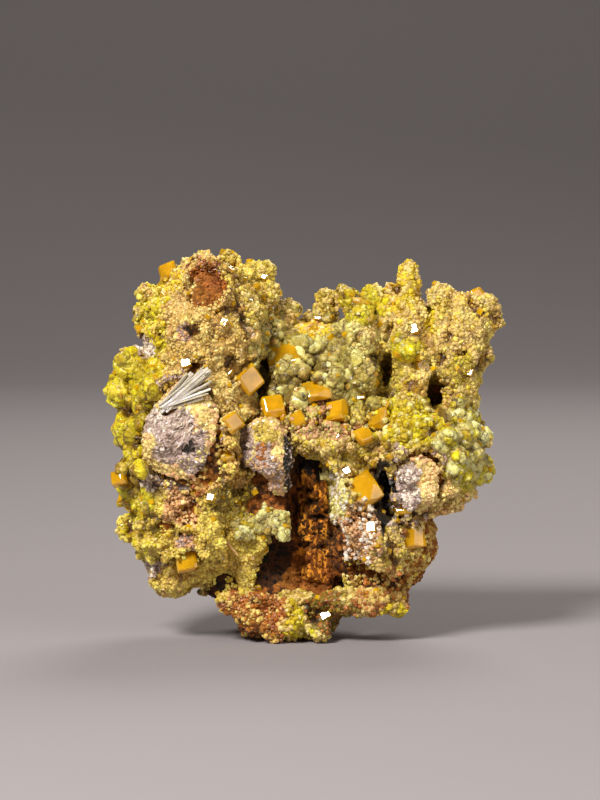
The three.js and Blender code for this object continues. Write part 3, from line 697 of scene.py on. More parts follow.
def shaded(tints: np.ndarray, shades: np.ndarray) -> np.ndarray:
    """Paints shade into colours: darkens them towards a warm brown in the deep creases, as painted shade.

    Args:
        tints: The colours, in rows.
        shades: How light each one's place is painted, from 0 in a crease to 1.

    Returns:
        The darkened colours.
    """
    return tints * (CREASE_SHADE + (1.0 - CREASE_SHADE) * shades[:, None])


class Seedbed:
    """A surface on which grains take root.

    Attributes:
        USUAL: The width of the usual grain, in millimetres.
        CELL: The width of the cells in which the places taken are kept, wider than any grain's room.
    """

    USUAL: ClassVar[float] = 0.6
    CELL: ClassVar[float] = 1.6 * MM

    def __init__(
        self,
        obj: bpy.types.Object,
        draw: np.random.Generator,
        shades: np.ndarray | None = None,
    ) -> None:
        """Reads the surface.

        Args:
            obj: The body that the grains grow on.
            draw: The source of chance.
            shades: How light each of its points is painted, as painted shade, from 0 to 1, or None where all
                are light.
        """
        mesh = obj.data
        mesh.calc_loop_triangles()
        corners = np.zeros(len(mesh.loop_triangles) * 3, np.int32)
        mesh.loop_triangles.foreach_get("vertices", corners)
        self.corners = corners.reshape(-1, 3)
        self.points = points_of(obj)
        self.normals = normals_of(obj)
        self.draw = draw
        self.shades = np.ones(len(self.points)) if shades is None else shades

    def candidates(self, density: float) -> tuple[np.ndarray, np.ndarray, np.ndarray]:
        """Throws places over the surface by chance.

        Args:
            density: How many fall on a square metre.

        Returns:
            The places, and the normals and shades there.
        """
        a, b, c = (self.points[self.corners[:, k]] for k in range(3))
        areas = np.linalg.norm(np.cross(b - a, c - a), axis=1) / 2
        tries = int(areas.sum() * density)
        faces = self.draw.choice(len(areas), tries, p=areas / areas.sum())
        u, v = self.draw.random((2, tries))
        over = u + v > 1
        u[over], v[over] = 1 - u[over], 1 - v[over]
        spots = a[faces] + u[:, None] * (b - a)[faces] + v[:, None] * (c - a)[faces]
        nearest = self.corners[faces, 0]
        return spots, self.normals[nearest], self.shades[nearest]

    def spread(
        self,
        zone_of: Callable[[Vector], Zone],
        keep: Callable[[Vector, Zone], bool],
        layers: Sequence[Layer] = LAYERS,
    ) -> Places:
        """Spreads grains over the surface, clear of each other.

        Args:
            zone_of: Gives the zone of a place.
            keep: Says whether a grain of a zone may stand at a place.
            layers: The sowings, in order.

        Returns:
            The places.
        """
        around = [(i, j, k) for i in (-1, 0, 1) for j in (-1, 0, 1) for k in (-1, 0, 1)]
        taken: dict[tuple[int, int, int], list[tuple[Vector, float]]] = {}
        found: list[tuple[Vector, Vector, float, float, Zone]] = []
        for layer in layers:
            spots, ways, shades = self.candidates(layer.tries / (self.USUAL * MM) ** 2)
            chances = self.draw.random((len(spots), 2))
            for spot, way, shade, chance in zip(map(Vector, spots), map(Vector, ways), shades, chances):
                if shade < BARE_SHADE:
                    continue
                zone = zone_of(spot)
                if layer.balls_only and zone.habit is not Habit.PEARL:
                    continue
                if chance[0] > (self.USUAL / zone.size) ** 2:
                    continue
                width = zone.size * MM * (layer.least + (layer.most - layer.least) * chance[1])
                clear = width * layer.spacing / 2
                x, y, z = (int(math.floor(value / self.CELL)) for value in spot)
                if any(
                    (spot - other).length < clear + room
                    for i, j, k in around
                    for other, room in taken.get((x + i, y + j, z + k), ())
                ):
                    continue
                if keep(spot, zone):
                    taken.setdefault((x, y, z), []).append((spot, clear))
                    found.append((spot, way, width, shade, zone))
        if not found:
            return Places(np.empty((0, 3)), np.empty((0, 3)), np.empty(0), np.empty(0), [])
        points, normals, widths, shades, zones = zip(*found)
        return Places(*map(np.array, (points, normals, widths, shades)), list(zones))


# Grains are sunk by this share of their width, and those wider than this by this share of the rest too.
SUNK = 0.24
WIDE = 0.8 * MM
WIDE_SUNK = 0.20

# The breadth of a grain, as a share of its width, at the least and the most.
BREADTHS = (0.7, 1.25)


def grow(
    name: str,
    stock: Stock,
    places: Places,
    draw: np.random.Generator,
    tilt: float,
    height: tuple[float, float] = (0.8, 1.3),
    up: np.ndarray | None = None,
) -> bpy.types.Object:
    """Grows grains at the places, as one joined mesh.

    Args:
        name: What to call the piece.
        stock: The templates.
        places: Where the grains stand, how wide they are and in which zone.
        draw: The source of chance.
        tilt: How far they lean from the surface's normal, as a share of its length.
        height: Their least and greatest height, as a share of their width.
        up: The direction that they point in instead of the normals, one for all or one for each.

    Returns:
        The piece.
    """
    all_points, all_faces, all_tints, all_tips, all_chances = [], [], [], [], []
    count = 0
    ways = places.normals if up is None else np.broadcast_to(up, places.normals.shape)
    keys = [stock.key(zone.habit, width) for zone, width in zip(places.zones, places.widths)]
    picks = draw.integers(0, stock.VARIANTS, len(keys))
    for key, variants in stock.templates.items():
        for variant, template in enumerate(variants):
            mine = np.array([k == key for k in keys], bool) & (picks == variant)
            if not mine.any():
                continue
            part = places.part(mine)
            total = len(part.points)
            way = unit(ways[mine] + draw.normal(0.0, tilt, (total, 3)))
            side = unit(np.cross(way, draw.normal(0.0, 1.0, (total, 3))))
            turn = np.stack([side, np.cross(way, side), way], axis=2)
            tall = part.widths * draw.uniform(*height, total)
            broad = part.widths * draw.uniform(*BREADTHS, total)
            scale = np.stack([part.widths, broad, tall], axis=1)
            shape = np.einsum("nij,nvj->nvi", turn, template.points[None] * scale[:, None])
            sunk = SUNK * part.widths + WIDE_SUNK * np.maximum(part.widths - WIDE, 0.0)
            roots = part.points - part.normals * sunk[:, None]
            all_points.append((shape + roots[:, None]).reshape(-1, 3))
            size = len(template.points)
            faces = template.faces[None] + (count + size * np.arange(total))[:, None, None]
            all_faces.append(faces.reshape(-1, 3))
            count += size * total
            second = draw.random(total) < np.array([zone.share for zone in part.zones])
            tints = np.array([
                (zone.second if other else zone.tint).value for zone, other in zip(part.zones, second)
            ])
            # The grains carry the painted shade of the creases that they stand in.
            all_tints.append(np.repeat(shaded(tints, part.shades), size, axis=0))
            all_tips.append(np.tile(template.rise, total))
            all_chances.append(np.repeat(draw.random(total), size))
    mesh = bpy.data.meshes.new(name)
    points = np.concatenate(all_points)
    points[:, 2] = np.maximum(points[:, 2], 0.0)
    mesh.from_pydata(points, [], np.concatenate(all_faces))
    piece = bpy.data.objects.new(name, mesh)
    bpy.context.scene.collection.objects.link(piece)
    paint(piece, np.concatenate(all_tints), np.concatenate(all_tips), np.concatenate(all_chances))
    return piece


class Tree:
    """A node tree with short ways to add and link nodes."""

    def __init__(self, tree: bpy.types.NodeTree) -> None:
        """Takes a tree and empties it."""
        self.tree = tree
        tree.nodes.clear()

    def add(
        self,
        kind: str,
        inputs: dict[str | int, object] | None = None,
        **settings: object,
    ) -> bpy.types.Node:
        """Adds a node.

        Args:
            kind: The node's type.
            inputs: A value or an output to link for each input, by its name or number.
            **settings: The node's properties.

        Returns:
            The node.
        """
        node = self.tree.nodes.new(kind)
        for key, value in settings.items():
            setattr(node, key, value)
        for key, value in (inputs or {}).items():
            if isinstance(value, bpy.types.NodeSocket):
                self.tree.links.new(value, node.inputs[key])
            else:
                node.inputs[key].default_value = value
        return node

    def ranged(
        self,
        value: bpy.types.NodeSocket,
        given: tuple[float, float],
        wanted: tuple[float, float],
    ) -> bpy.types.NodeSocket:
        """Maps a value from one range to another.

        Args:
            value: The value.
            given: The range that it has.
            wanted: The range that it gets.

        Returns:
            The mapped value.
        """
        ends = {"Value": value, 1: given[0], 2: given[1], 3: wanted[0], 4: wanted[1]}
        return self.add("ShaderNodeMapRange", ends).outputs["Result"]

    def mixed(
        self,
        factor: bpy.types.NodeSocket,
        first: bpy.types.NodeSocket,
        second: bpy.types.NodeSocket | tuple[float, float, float, float],
        blend: str = "MIX",
    ) -> bpy.types.NodeSocket:
        """Mixes two colours.

        Args:
            factor: How far the second one counts.
            first: The first colour.
            second: The second.
            blend: The way of mixing.

        Returns:
            The mixed colour.
        """
        colours = {0: factor, 6: first, 7: second}
        return self.add("ShaderNodeMix", colours, data_type="RGBA", blend_type=blend).outputs[2]


def new_tone(name: str, values: Sequence[str]) -> bpy.types.NodeTree:
    """Starts a shader group that makes a colour, a roughness and a normal from a tint and some values.

    Args:
        name: What it is called.
        values: The names of its values.

    Returns:
        The group, with its inputs and outputs.
    """
    group = bpy.data.node_groups.new(name, "ShaderNodeTree")
    group.interface.new_socket("Tint", in_out="INPUT", socket_type="NodeSocketColor")
    for value in values:
        group.interface.new_socket(value, in_out="INPUT", socket_type="NodeSocketFloat")
    for output, kind in (("Color", "Color"), ("Roughness", "Float"), ("Normal", "Vector")):
        group.interface.new_socket(output, in_out="OUTPUT", socket_type=f"NodeSocket{kind}")
    return group


# The middle share of a noise pattern, which has hardly a value beyond it.
NOISE = (0.3, 0.7)
# The colour that tips are painted towards as painted light, the one that roots are darkened by as painted
# shade, and the near black of the rock's cracks.
TIP_LIGHT = (1.0, 0.93, 0.74, 1.0)
ROOT_SHADE = (0.36, 0.22, 0.015, 1.0)
CRACK_SHADE = (0.010, 0.007, 0.005, 1.0)


def grain_tone() -> bpy.types.NodeTree:
    """Builds the shader group for a grown crust: a tint that varies by grain, with painted light at the tips
    and painted shade at the roots.

    Returns:
        The group, with inputs for the tint, tip and chance of a point, how far the tips are painted paler as
        painted light and the roots darker as painted shade, how fine the mottling and the facets are, and the
        outputs Color, Roughness and Normal.
    """
    group = new_tone("grain tone", ("Tip", "Chance", "Pale", "Dark", "Scale", "Facet"))
    tree = Tree(group)
    given = tree.add("NodeGroupInput").outputs
    place = tree.add("ShaderNodeTexCoord").outputs["Object"]
    patches = tree.add("ShaderNodeTexNoise", {"Vector": place, "Scale": 420.0, "Detail": 3.0}).outputs["Fac"]
    mottle = tree.add(
        "ShaderNodeTexNoise",
        {"Vector": place, "Scale": given["Scale"], "Detail": 4.0},
    ).outputs["Fac"]
    by_grain = tree.ranged(given["Chance"], (0.0, 1.0), (0.74, 1.26))
    sugar = tree.ranged(mottle, NOISE, (0.64, 1.34))
    lightness = tree.add("ShaderNodeMath", {0: by_grain, 1: sugar}, operation="MULTIPLY").outputs["Value"]
    hue = tree.ranged(patches, NOISE, (0.487, 0.513))
    varied = tree.add(
        "ShaderNodeHueSaturation",
        {"Hue": hue, "Value": lightness, "Color": given["Tint"]},
    ).outputs["Color"]
    # Painted light and shade: the tips are painted paler and the roots darker, by how far each point stands
    # out of its crust.
    pale = tree.mixed(given["Pale"], varied, TIP_LIGHT, "SOFT_LIGHT")
    dark = tree.mixed(given["Dark"], varied, ROOT_SHADE, "MULTIPLY")
    height = tree.add("ShaderNodeMath", {0: given["Tip"], 1: mottle}, operation="MULTIPLY").outputs["Value"]
    colour = tree.mixed(tree.ranged(height, (0.08, 0.30), (0.0, 1.0)), dark, pale)
    rough = tree.ranged(mottle, NOISE, (0.28, 0.58))
    cells = tree.add("ShaderNodeTexVoronoi", {"Vector": place, "Scale": given["Facet"]}).outputs["Color"]
    lean = tree.add(
        "ShaderNodeVectorMath",
        {0: cells, 1: (0.5, 0.5, 0.5)},
        operation="SUBTRACT",
    ).outputs["Vector"]
    face = tree.add("ShaderNodeNewGeometry").outputs["Normal"]
    faceted = tree.add(
        "ShaderNodeVectorMath",
        {0: lean, 1: (0.6, 0.6, 0.6), 2: face},
        operation="MULTIPLY_ADD",
    ).outputs["Vector"]
    unit_way = tree.add("ShaderNodeVectorMath", {0: faceted}, operation="NORMALIZE").outputs["Vector"]
    bump = tree.add(
        "ShaderNodeBump",
        {"Height": mottle, "Strength": 0.3, "Distance": 0.12 * MM, "Normal": unit_way},
    ).outputs["Normal"]
    tree.add("NodeGroupOutput", {"Color": colour, "Roughness": rough, "Normal": bump})
    return group


def rock_tone() -> bpy.types.NodeTree:
    """Builds the shader group for weathered ironstone: crumbs and fine dark cracks over a tint.

    Returns:
        The group, with the inputs Tint, Crack and Scale and the outputs Color, Roughness and Normal.
    """
    group = new_tone("rock tone", ("Crack", "Scale"))
    tree = Tree(group)
    given = tree.add("NodeGroupInput").outputs
    place = tree.add("ShaderNodeTexCoord").outputs["Object"]
    crumbs = tree.add(
        "ShaderNodeTexNoise",
        {"Vector": place, "Scale": given["Scale"], "Detail": 6.0, "Roughness": 0.65},
    ).outputs["Fac"]
    broad = tree.add("ShaderNodeTexNoise", {"Vector": place, "Scale": 260.0, "Detail": 4.0}).outputs["Fac"]
    cells = tree.add(
        "ShaderNodeTexVoronoi",
        {"Vector": place, "Scale": 900.0},
        feature="DISTANCE_TO_EDGE",
    ).outputs["Distance"]
    crack = tree.ranged(cells, (0.0, 0.06), (1.0, 0.0))
    cut = tree.add("ShaderNodeMath", {0: crack, 1: given["Crack"]}, operation="MULTIPLY").outputs["Value"]
    light = tree.ranged(crumbs, (0.3, 0.72), (0.35, 1.7))
    hue = tree.ranged(broad, NOISE, (0.494, 0.512))
    varied = tree.add(
        "ShaderNodeHueSaturation",
        {"Hue": hue, "Value": light, "Color": given["Tint"]},
    ).outputs["Color"]
    colour = tree.mixed(cut, varied, CRACK_SHADE)
    rough = tree.ranged(crumbs, NOISE, (1.0, 0.75))
    bump = tree.add(
        "ShaderNodeBump",
        {"Height": crumbs, "Strength": 0.9, "Distance": 0.35 * MM},
    ).outputs["Normal"]
    tree.add("NodeGroupOutput", {"Color": colour, "Roughness": rough, "Normal": bump})
    return group


def group_of(name: str, maker: Callable[[], bpy.types.NodeTree]) -> bpy.types.NodeTree:
    """Gives a shader group, built the first time that it is asked for."""
    return bpy.data.node_groups.get(name) or maker()


@dataclass(frozen=True)
class CrystalFinish:
    """The finish of a crust of small crystals.

    Attributes:
        name: What the finish is called.
        pale: How far the tips are painted paler, as painted light.
        dark: How far the roots are painted darker, as painted shade.
        glow: How much light goes in and comes out again nearby.
        depth: How far it goes, in metres.
        coat: How strong the wet-looking gloss over it is.
        sheen: How strongly its edges lighten, as where light comes through.
        scale: How fine the mottling is.
        facet: How fine the glinting facets are.
    """

    name: str
    pale: float
    dark: float
    glow: float
    depth: float
    coat: float
    sheen: float = 0.0
    scale: float = 2600.0
    facet: float = 5200.0

    def build(self) -> bpy.types.Material:
        """Builds the material, which reads the tint, tip and chance of each point.

        Returns:
            The material.
        """
        material = bpy.data.materials.new(self.name)
        material.use_nodes = True
        tree = Tree(material.node_tree)
        tint = tree.add("ShaderNodeAttribute", attribute_name="tint").outputs["Color"]
        tip = tree.add("ShaderNodeAttribute", attribute_name="tip").outputs["Fac"]
        chance = tree.add("ShaderNodeAttribute", attribute_name="chance").outputs["Fac"]
        tone = tree.add("ShaderNodeGroup", node_tree=group_of("grain tone", grain_tone))
        links = material.node_tree.links
        for name, output in (("Tint", tint), ("Tip", tip), ("Chance", chance)):
            links.new(output, tone.inputs[name])
        tone.inputs["Pale"].default_value = self.pale
        tone.inputs["Dark"].default_value = self.dark
        tone.inputs["Scale"].default_value = self.scale
        tone.inputs["Facet"].default_value = self.facet
        shader = tree.add(
            "ShaderNodeBsdfPrincipled",
            {
                "Base Color": tone.outputs["Color"],
                "Roughness": tone.outputs["Roughness"],
                "Normal": tone.outputs["Normal"],
                "IOR": 1.55,
                "Subsurface Weight": self.glow,
                "Subsurface Radius": (1.0, 0.9, 0.35),
                "Subsurface Scale": self.depth,
                "Coat Weight": self.coat,
                "Coat Roughness": 0.12,
                "Sheen Weight": self.sheen,
                "Sheen Roughness": 0.4,
                "Sheen Tint": (1.0, 0.92, 0.55, 1.0),
            },
        )
        tree.add("ShaderNodeOutputMaterial", {"Surface": shader.outputs["BSDF"]})
        return material


@dataclass(frozen=True)
class RockFinish:
    """The finish of bare ironstone.

    Attributes:
        name: What the finish is called.
        crack: How dark its cracks are.
        scale: How fine its crumbs are.
    """

    name: str
    crack: float
    scale: float

    def build(self) -> bpy.types.Material:
        """Builds the material, which reads the tint of each point.

        Returns:
            The material.
        """
        material = bpy.data.materials.new(self.name)
        material.use_nodes = True
        tree = Tree(material.node_tree)
        tint = tree.add("ShaderNodeAttribute", attribute_name="tint").outputs["Color"]
        tone = tree.add("ShaderNodeGroup", node_tree=group_of("rock tone", rock_tone))
        material.node_tree.links.new(tint, tone.inputs["Tint"])
        tone.inputs["Crack"].default_value = self.crack
        tone.inputs["Scale"].default_value = self.scale
        shader = tree.add(
            "ShaderNodeBsdfPrincipled",
            {
                "Base Color": tone.outputs["Color"],
                "Roughness": tone.outputs["Roughness"],
                "Normal": tone.outputs["Normal"],
                "IOR": 1.4,
            },
        )
        tree.add("ShaderNodeOutputMaterial", {"Surface": shader.outputs["BSDF"]})
        return material


@dataclass(frozen=True)
class ClearFinish:
    """The finish of a crystal that light goes through.

    Attributes:
        name: What the finish is called.
        colour: The colour of its faces.
        deep: The colour that it turns light that goes through it.
        density: How fast it does that, per metre.
        clear: How much light goes through and not back.
        index: Its index of refraction.
        rough: How dull its faces are.
    """

    name: str
    colour: Colour
    deep: Colour
    density: float
    clear: float
    index: float
    rough: float

    def build(self) -> bpy.types.Material:
        """Builds the material.

        Returns:
            The material.
        """
        material = bpy.data.materials.new(self.name)
        material.use_nodes = True
        tree = Tree(material.node_tree)
        place = tree.add("ShaderNodeTexCoord").outputs["Object"]
        cloud, fine = (
            tree.add("ShaderNodeTexNoise", {"Vector": place, "Scale": scale, "Detail": detail}).outputs["Fac"]
            for scale, detail in ((420.0, 5.0), (3200.0, 2.0))
        )
        light = tree.ranged(cloud, NOISE, (0.6, 1.2))
        varied = tree.add("ShaderNodeHueSaturation", {"Value": light, "Color": (*self.colour, 1.0)})
        rough = tree.ranged(fine, NOISE, (self.rough, 2.2 * self.rough))
        bump = tree.add("ShaderNodeBump", {"Height": cloud, "Strength": 0.12, "Distance": 0.1 * MM})
        shader = tree.add(
            "ShaderNodeBsdfPrincipled",
            {
                "Base Color": varied.outputs["Color"],
                "Roughness": rough,
                "Normal": bump.outputs["Normal"],
                "IOR": self.index,
                "Transmission Weight": self.clear,
                "Subsurface Weight": 0.4,
                "Subsurface Radius": (1.0, 0.85, 0.12),
                "Subsurface Scale": 1.2 * MM,
            },
        )
        inside = tree.add(
            "ShaderNodeVolumeAbsorption",
            {"Color": (*self.deep, 1.0), "Density": self.density},
        ).outputs["Volume"]
        tree.add("ShaderNodeOutputMaterial", {"Surface": shader.outputs["BSDF"], "Volume": inside})
        return material


def dressed(
    piece: bpy.types.Object,
    material: bpy.types.Material,
    stands_for: Sequence[str] = (),
) -> bpy.types.Object:
    """Finishes a piece: its material, its body and what it stands for.

    Args:
        piece: The piece.
        material: Its material.
        stands_for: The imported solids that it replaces.

    Returns:
        The piece.
    """
    piece.data.materials.clear()
    piece.data.materials.append(material)
    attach(piece, BODY)
    if stands_for:
        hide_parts(*stands_for)
    log.info("%s: %d faces", piece.name, len(piece.data.polygons))
    return piece


@dataclass
class Ironstone:
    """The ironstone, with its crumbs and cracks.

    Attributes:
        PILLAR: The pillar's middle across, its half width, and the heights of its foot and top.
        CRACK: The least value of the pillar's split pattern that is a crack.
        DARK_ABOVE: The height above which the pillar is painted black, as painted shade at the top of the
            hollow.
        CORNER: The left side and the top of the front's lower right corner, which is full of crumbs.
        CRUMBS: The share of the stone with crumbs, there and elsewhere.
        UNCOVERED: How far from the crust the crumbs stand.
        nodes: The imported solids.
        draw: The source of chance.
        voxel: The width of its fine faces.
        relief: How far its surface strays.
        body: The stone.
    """

    PILLAR: ClassVar[tuple[float, float, float, float]] = (0.7 * MM, 1.8 * MM, 7.5 * MM, 23.0 * MM)
    CRACK: ClassVar[float] = 0.32
    DARK_ABOVE: ClassVar[float] = 20.4 * MM
    CORNER: ClassVar[tuple[float, float]] = (5.0 * MM, 14.0 * MM)
    CRUMBS: ClassVar[tuple[float, float]] = (0.6, 0.22)
    UNCOVERED: ClassVar[float] = 0.8 * MM
    nodes: dict[str, bpy.types.Object]
    draw: np.random.Generator
    voxel: float = 0.38 * MM
    relief: float = 0.50 * MM
    body: bpy.types.Object = field(init=False)

    def build(self, stock: Stock, crust: BVHTree) -> None:
        """Builds the stone and its crumbs.

        Args:
            stock: The crystals to grow.
            crust: What grows on the stone, where no crumbs show.
        """
        stone = copy_of(["matrix"], self.nodes, "ironstone")
        refine(stone, self.voxel, 0.6, 3)
        self.weather(stone)
        points = points_of(stone)
        tints = np.array([self.tint(Vector(p)) for p in points])
        paint(stone, tints, np.full(len(points), 0.5), np.full(len(points), 0.5))

        def open_rock(spot: Vector, zone: Zone) -> bool:
            if self.draw.random() >= self.share(spot) or spot.z <= LOWEST_CRUMB:
                return False
            return crust.find_nearest(spot, self.UNCOVERED)[0] is None

        places = Seedbed(stone, self.draw).spread(self.zone, open_rock)
        crumbs = grow("ironstone_crumbs", stock, places, self.draw, 0.5, (0.5, 1.0))
        finish = RockFinish("ironstone", crack=0.55, scale=1500.0).build()
        dressed(stone, finish, ["matrix"])
        dressed(crumbs, RockFinish("ironstone crumb", crack=0.0, scale=2500.0).build())
        self.body = stone

    def zone(self, place: Vector) -> Zone:
        """Gives the zone of a place on the stone."""
        return pick(ROCK_ZONES, ROCK_ELSEWHERE, place, 0.35)

    def tint(self, place: Vector) -> Colour:
        """Gives the stone's colour at a place."""
        if self.on_pillar(place):
            # Cracks are black, and above DARK_ABOVE the pillar is painted black as painted shade at the top of
            # the hollow.
            if self.split(place) > self.CRACK or place.z > self.DARK_ABOVE * (1.0 + 0.1 * self.fibre(place)):
                return Tint.SOOT.value
            return (Tint.GOLD if self.fibre(place) > -0.1 else Tint.AMBER).value
        zone = self.zone(place)
        return (zone.second if noise.noise(place / (1.1 * MM)) > 0.45 - zone.share else zone.tint).value

    def on_pillar(self, place: Vector) -> bool:
        """Tells whether a place is on the fibrous pillar in the hollow."""
        middle, half, foot, top = self.PILLAR
        return abs(place.x - middle) < half and place.y < 0.0 and foot < place.z < top

    def fibre(self, place: Vector) -> float:
        """Gives the pattern of upright fibres on the pillar, from -1 to 1."""
        return noise.noise(Vector((place.x, place.y, 0.12 * place.z)) / (0.45 * MM))

    def split(self, place: Vector) -> float:
        """Gives the pattern of level cracks across the pillar, from -1 to 1."""
        return noise.noise(Vector((0.25 * place.x, 0.25 * place.y, place.z)) / (0.8 * MM))

    def share(self, place: Vector) -> float:
        """Gives how much of the stone has crumbs at a place: most in the front's lower right corner."""
        left, top = self.CORNER
        many, few = self.CRUMBS
        return many if place.x > left and place.z < top and place.y < 0.0 else few

    def weather(self, stone: bpy.types.Object) -> None:
        """Breaks the stone's surface up into ledges and cells, and its pillar into fibres."""
        points, normals = points_of(stone), normals_of(stone)
        for i, (point, normal) in enumerate(zip(map(Vector, points), map(Vector, normals))):
            if point.z < 0.05 * MM:
                continue
            cells = noise.voronoi(point / (2.2 * MM))[0]
            ledge = noise.noise(Vector((point.x, point.y, point.z * 2.5)) / (2.6 * MM))
            fine = noise.noise(point / (0.8 * MM))
            height = 0.55 * (cells[1] - cells[0]) + 0.6 * ledge + 0.35 * fine
            if self.on_pillar(point):
                height = 0.9 * self.fibre(point) - (1.2 if self.split(point) > self.CRACK else 0.0)
            points[i] = point + normal * self.relief * height
        points[:, 2] = np.maximum(points[:, 2], 0.0)
        move_points(stone, points)


@dataclass
class Crust:
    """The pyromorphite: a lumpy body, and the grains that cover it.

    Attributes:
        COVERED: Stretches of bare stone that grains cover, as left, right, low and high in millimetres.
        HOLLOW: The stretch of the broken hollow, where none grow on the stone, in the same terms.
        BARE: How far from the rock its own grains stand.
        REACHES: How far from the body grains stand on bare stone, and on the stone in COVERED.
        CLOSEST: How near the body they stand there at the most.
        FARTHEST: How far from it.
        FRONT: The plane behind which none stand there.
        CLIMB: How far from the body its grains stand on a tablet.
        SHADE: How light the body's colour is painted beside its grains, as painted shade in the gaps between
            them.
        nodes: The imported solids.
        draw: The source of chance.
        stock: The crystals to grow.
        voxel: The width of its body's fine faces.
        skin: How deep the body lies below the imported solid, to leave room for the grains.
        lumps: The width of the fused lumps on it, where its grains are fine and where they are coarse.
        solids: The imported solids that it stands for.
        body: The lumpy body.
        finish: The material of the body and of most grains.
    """

    COVERED: ClassVar[tuple[tuple[float, float, float, float], ...]] = (
        (4.4, 17.0, 2.0, 13.0),
        (12.5, 19.0, 26.5, 34.0),
    )
    HOLLOW: ClassVar[tuple[float, float, float, float]] = (-8.6, 4.4, 5.6, 23.0)
    BARE: ClassVar[float] = 0.45 * MM
    REACHES: ClassVar[tuple[float, float]] = (0.9 * MM, 3.6 * MM)
    CLOSEST: ClassVar[float] = 0.15 * MM
    FARTHEST: ClassVar[float] = 5.0 * MM
    FRONT: ClassVar[float] = -1.0 * MM
    CLIMB: ClassVar[float] = 0.6 * MM
    SHADE: ClassVar[float] = 0.85
    nodes: dict[str, bpy.types.Object]
    draw: np.random.Generator
    stock: Stock
    voxel: float = 0.345 * MM
    skin: float = 0.70 * MM
    lumps: tuple[float, float] = (1.5 * MM, 2.9 * MM)
    solids: tuple[str, ...] = ("pyromorphite_crust", "pyromorphite_rim")
    body: bpy.types.Object = field(init=False)
    finish: bpy.types.Material = field(init=False)

    def build(self) -> None:
        """Builds the body and its grains."""
        rock = tree_of(self.nodes["matrix"])
        body = copy_of(self.solids, self.nodes, "pyromorphite_body")
        refine(body, self.voxel, 0.6, 4)
        zones = [self.zone(Vector(p)) for p in points_of(body)]
        shades = self.swell_lumps(body, rock, zones)
        points = points_of(body)
        # Painted shade: the body is darker than its grains and darker still in creases and pits, and its tips
        # follow that shade, so its finish darkens the creases more.
        tints = self.SHADE * shaded(np.array([zone.tint.value for zone in zones]), shades)
        chances = np.array([0.5 + 0.5 * noise.noise(Vector(p) / (0.9 * MM)) for p in points])
        paint(body, tints, 0.2 + 0.4 * shades, chances)

        def outside(spot: Vector, zone: Zone) -> bool:
            if zone.tint is Tint.SOOT:
                return False
            return spot.z > LOWEST_GRAIN and rock.find_nearest(spot, self.BARE)[0] is None

        places = Seedbed(body, self.draw, shades).spread(self.zone, outside)
        self.finish = CrystalFinish("pyromorphite", 0.55, 0.7, 0.35, 0.5 * MM, 0.0, 0.06).build()
        clear = CrystalFinish(
            "pyromorphite ball", 0.5, 0.85, 0.65, 1.3 * MM, 0.15, 0.16, facet=3600.0
        ).build()
        balls = np.array([zone.habit is Habit.PEARL for zone in places.zones])
        piece = grow("pyromorphite_balls", self.stock, places.part(balls), self.draw, 0.28, (0.85, 1.15))
        dressed(piece, clear)
        grains = places.part(~balls)
        for name, keep in self.stretches(grains.points).items():
            piece = grow(f"pyromorphite_{name}", self.stock, grains.part(keep), self.draw, 0.28)
            dressed(piece, self.finish)
        dressed(body, self.finish, self.solids)
        self.body = body

    def overgrow(self, stone: bpy.types.Object) -> None:
        """Grows scattered grains on the ironstone where it comes out from under the crust.

        Args:
            stone: The ironstone.
        """
        crust = tree_of(self.body)

        def near_edge(spot: Vector, zone: Zone) -> bool:
            if spot.z < LOWEST_CRUMB or spot.y > self.FRONT:
                return False
            if zone.tint is Tint.SOOT or self.within(spot, self.HOLLOW):
                return False
            covered = any(self.within(spot, stretch) for stretch in self.COVERED)
            reach = self.REACHES[covered] * (0.6 + 1.3 * noise.noise(spot / (1.6 * MM)))
            distance = crust.find_nearest(spot, self.FARTHEST)[3]
            return distance is not None and self.CLOSEST <= distance < reach

        places = Seedbed(stone, self.draw).spread(self.zone, near_edge)
        piece = grow("pyromorphite_edge_grains", self.stock, places, self.draw, 0.3)
        dressed(piece, self.finish)

    def foot_of(self, tablet: bpy.types.Object) -> Places:
        """Finds where the crust's grains climb up a tablet that stands in it.

        Args:
            tablet: The tablet.

        Returns:
            Places for grains on its sides, near the crust.
        """
        crust = tree_of(self.body)

        def low(spot: Vector, zone: Zone) -> bool:
            climb = self.CLIMB * (1.0 + 0.9 * noise.noise(spot / (0.7 * MM)))
            return zone.tint is not Tint.SOOT and crust.find_nearest(spot, climb)[0] is not None

        return Seedbed(tablet, self.draw).spread(self.zone, low, FEET)

    def grow_feet(self, feet: Sequence[Places]) -> None:
        """Grows the grains round the feet of the tablets.

        Args:
            feet: Where they stand on each tablet.
        """
        arrays = (
            np.concatenate([getattr(foot, name) for foot in feet])
            for name in ("points", "normals", "widths", "shades")
        )
        places = Places(*arrays, [zone for foot in feet for zone in foot.zones])
        piece = grow("pyromorphite_foot_grains", self.stock, places, self.draw, 0.4)
        dressed(piece, self.finish)

    def within(self, place: Vector, stretch: tuple[float, float, float, float]) -> bool:
        """Tells whether a place lies in a stretch of the front view, given as left, right, low and high."""
        left, right, low, high = stretch
        return left < place.x / MM < right and low < place.z / MM < high

    def zone(self, place: Vector) -> Zone:
        """Gives the zone of a place on the crust."""
        return pick(CRUST_ZONES, CRUST_ELSEWHERE, place, 0.5)

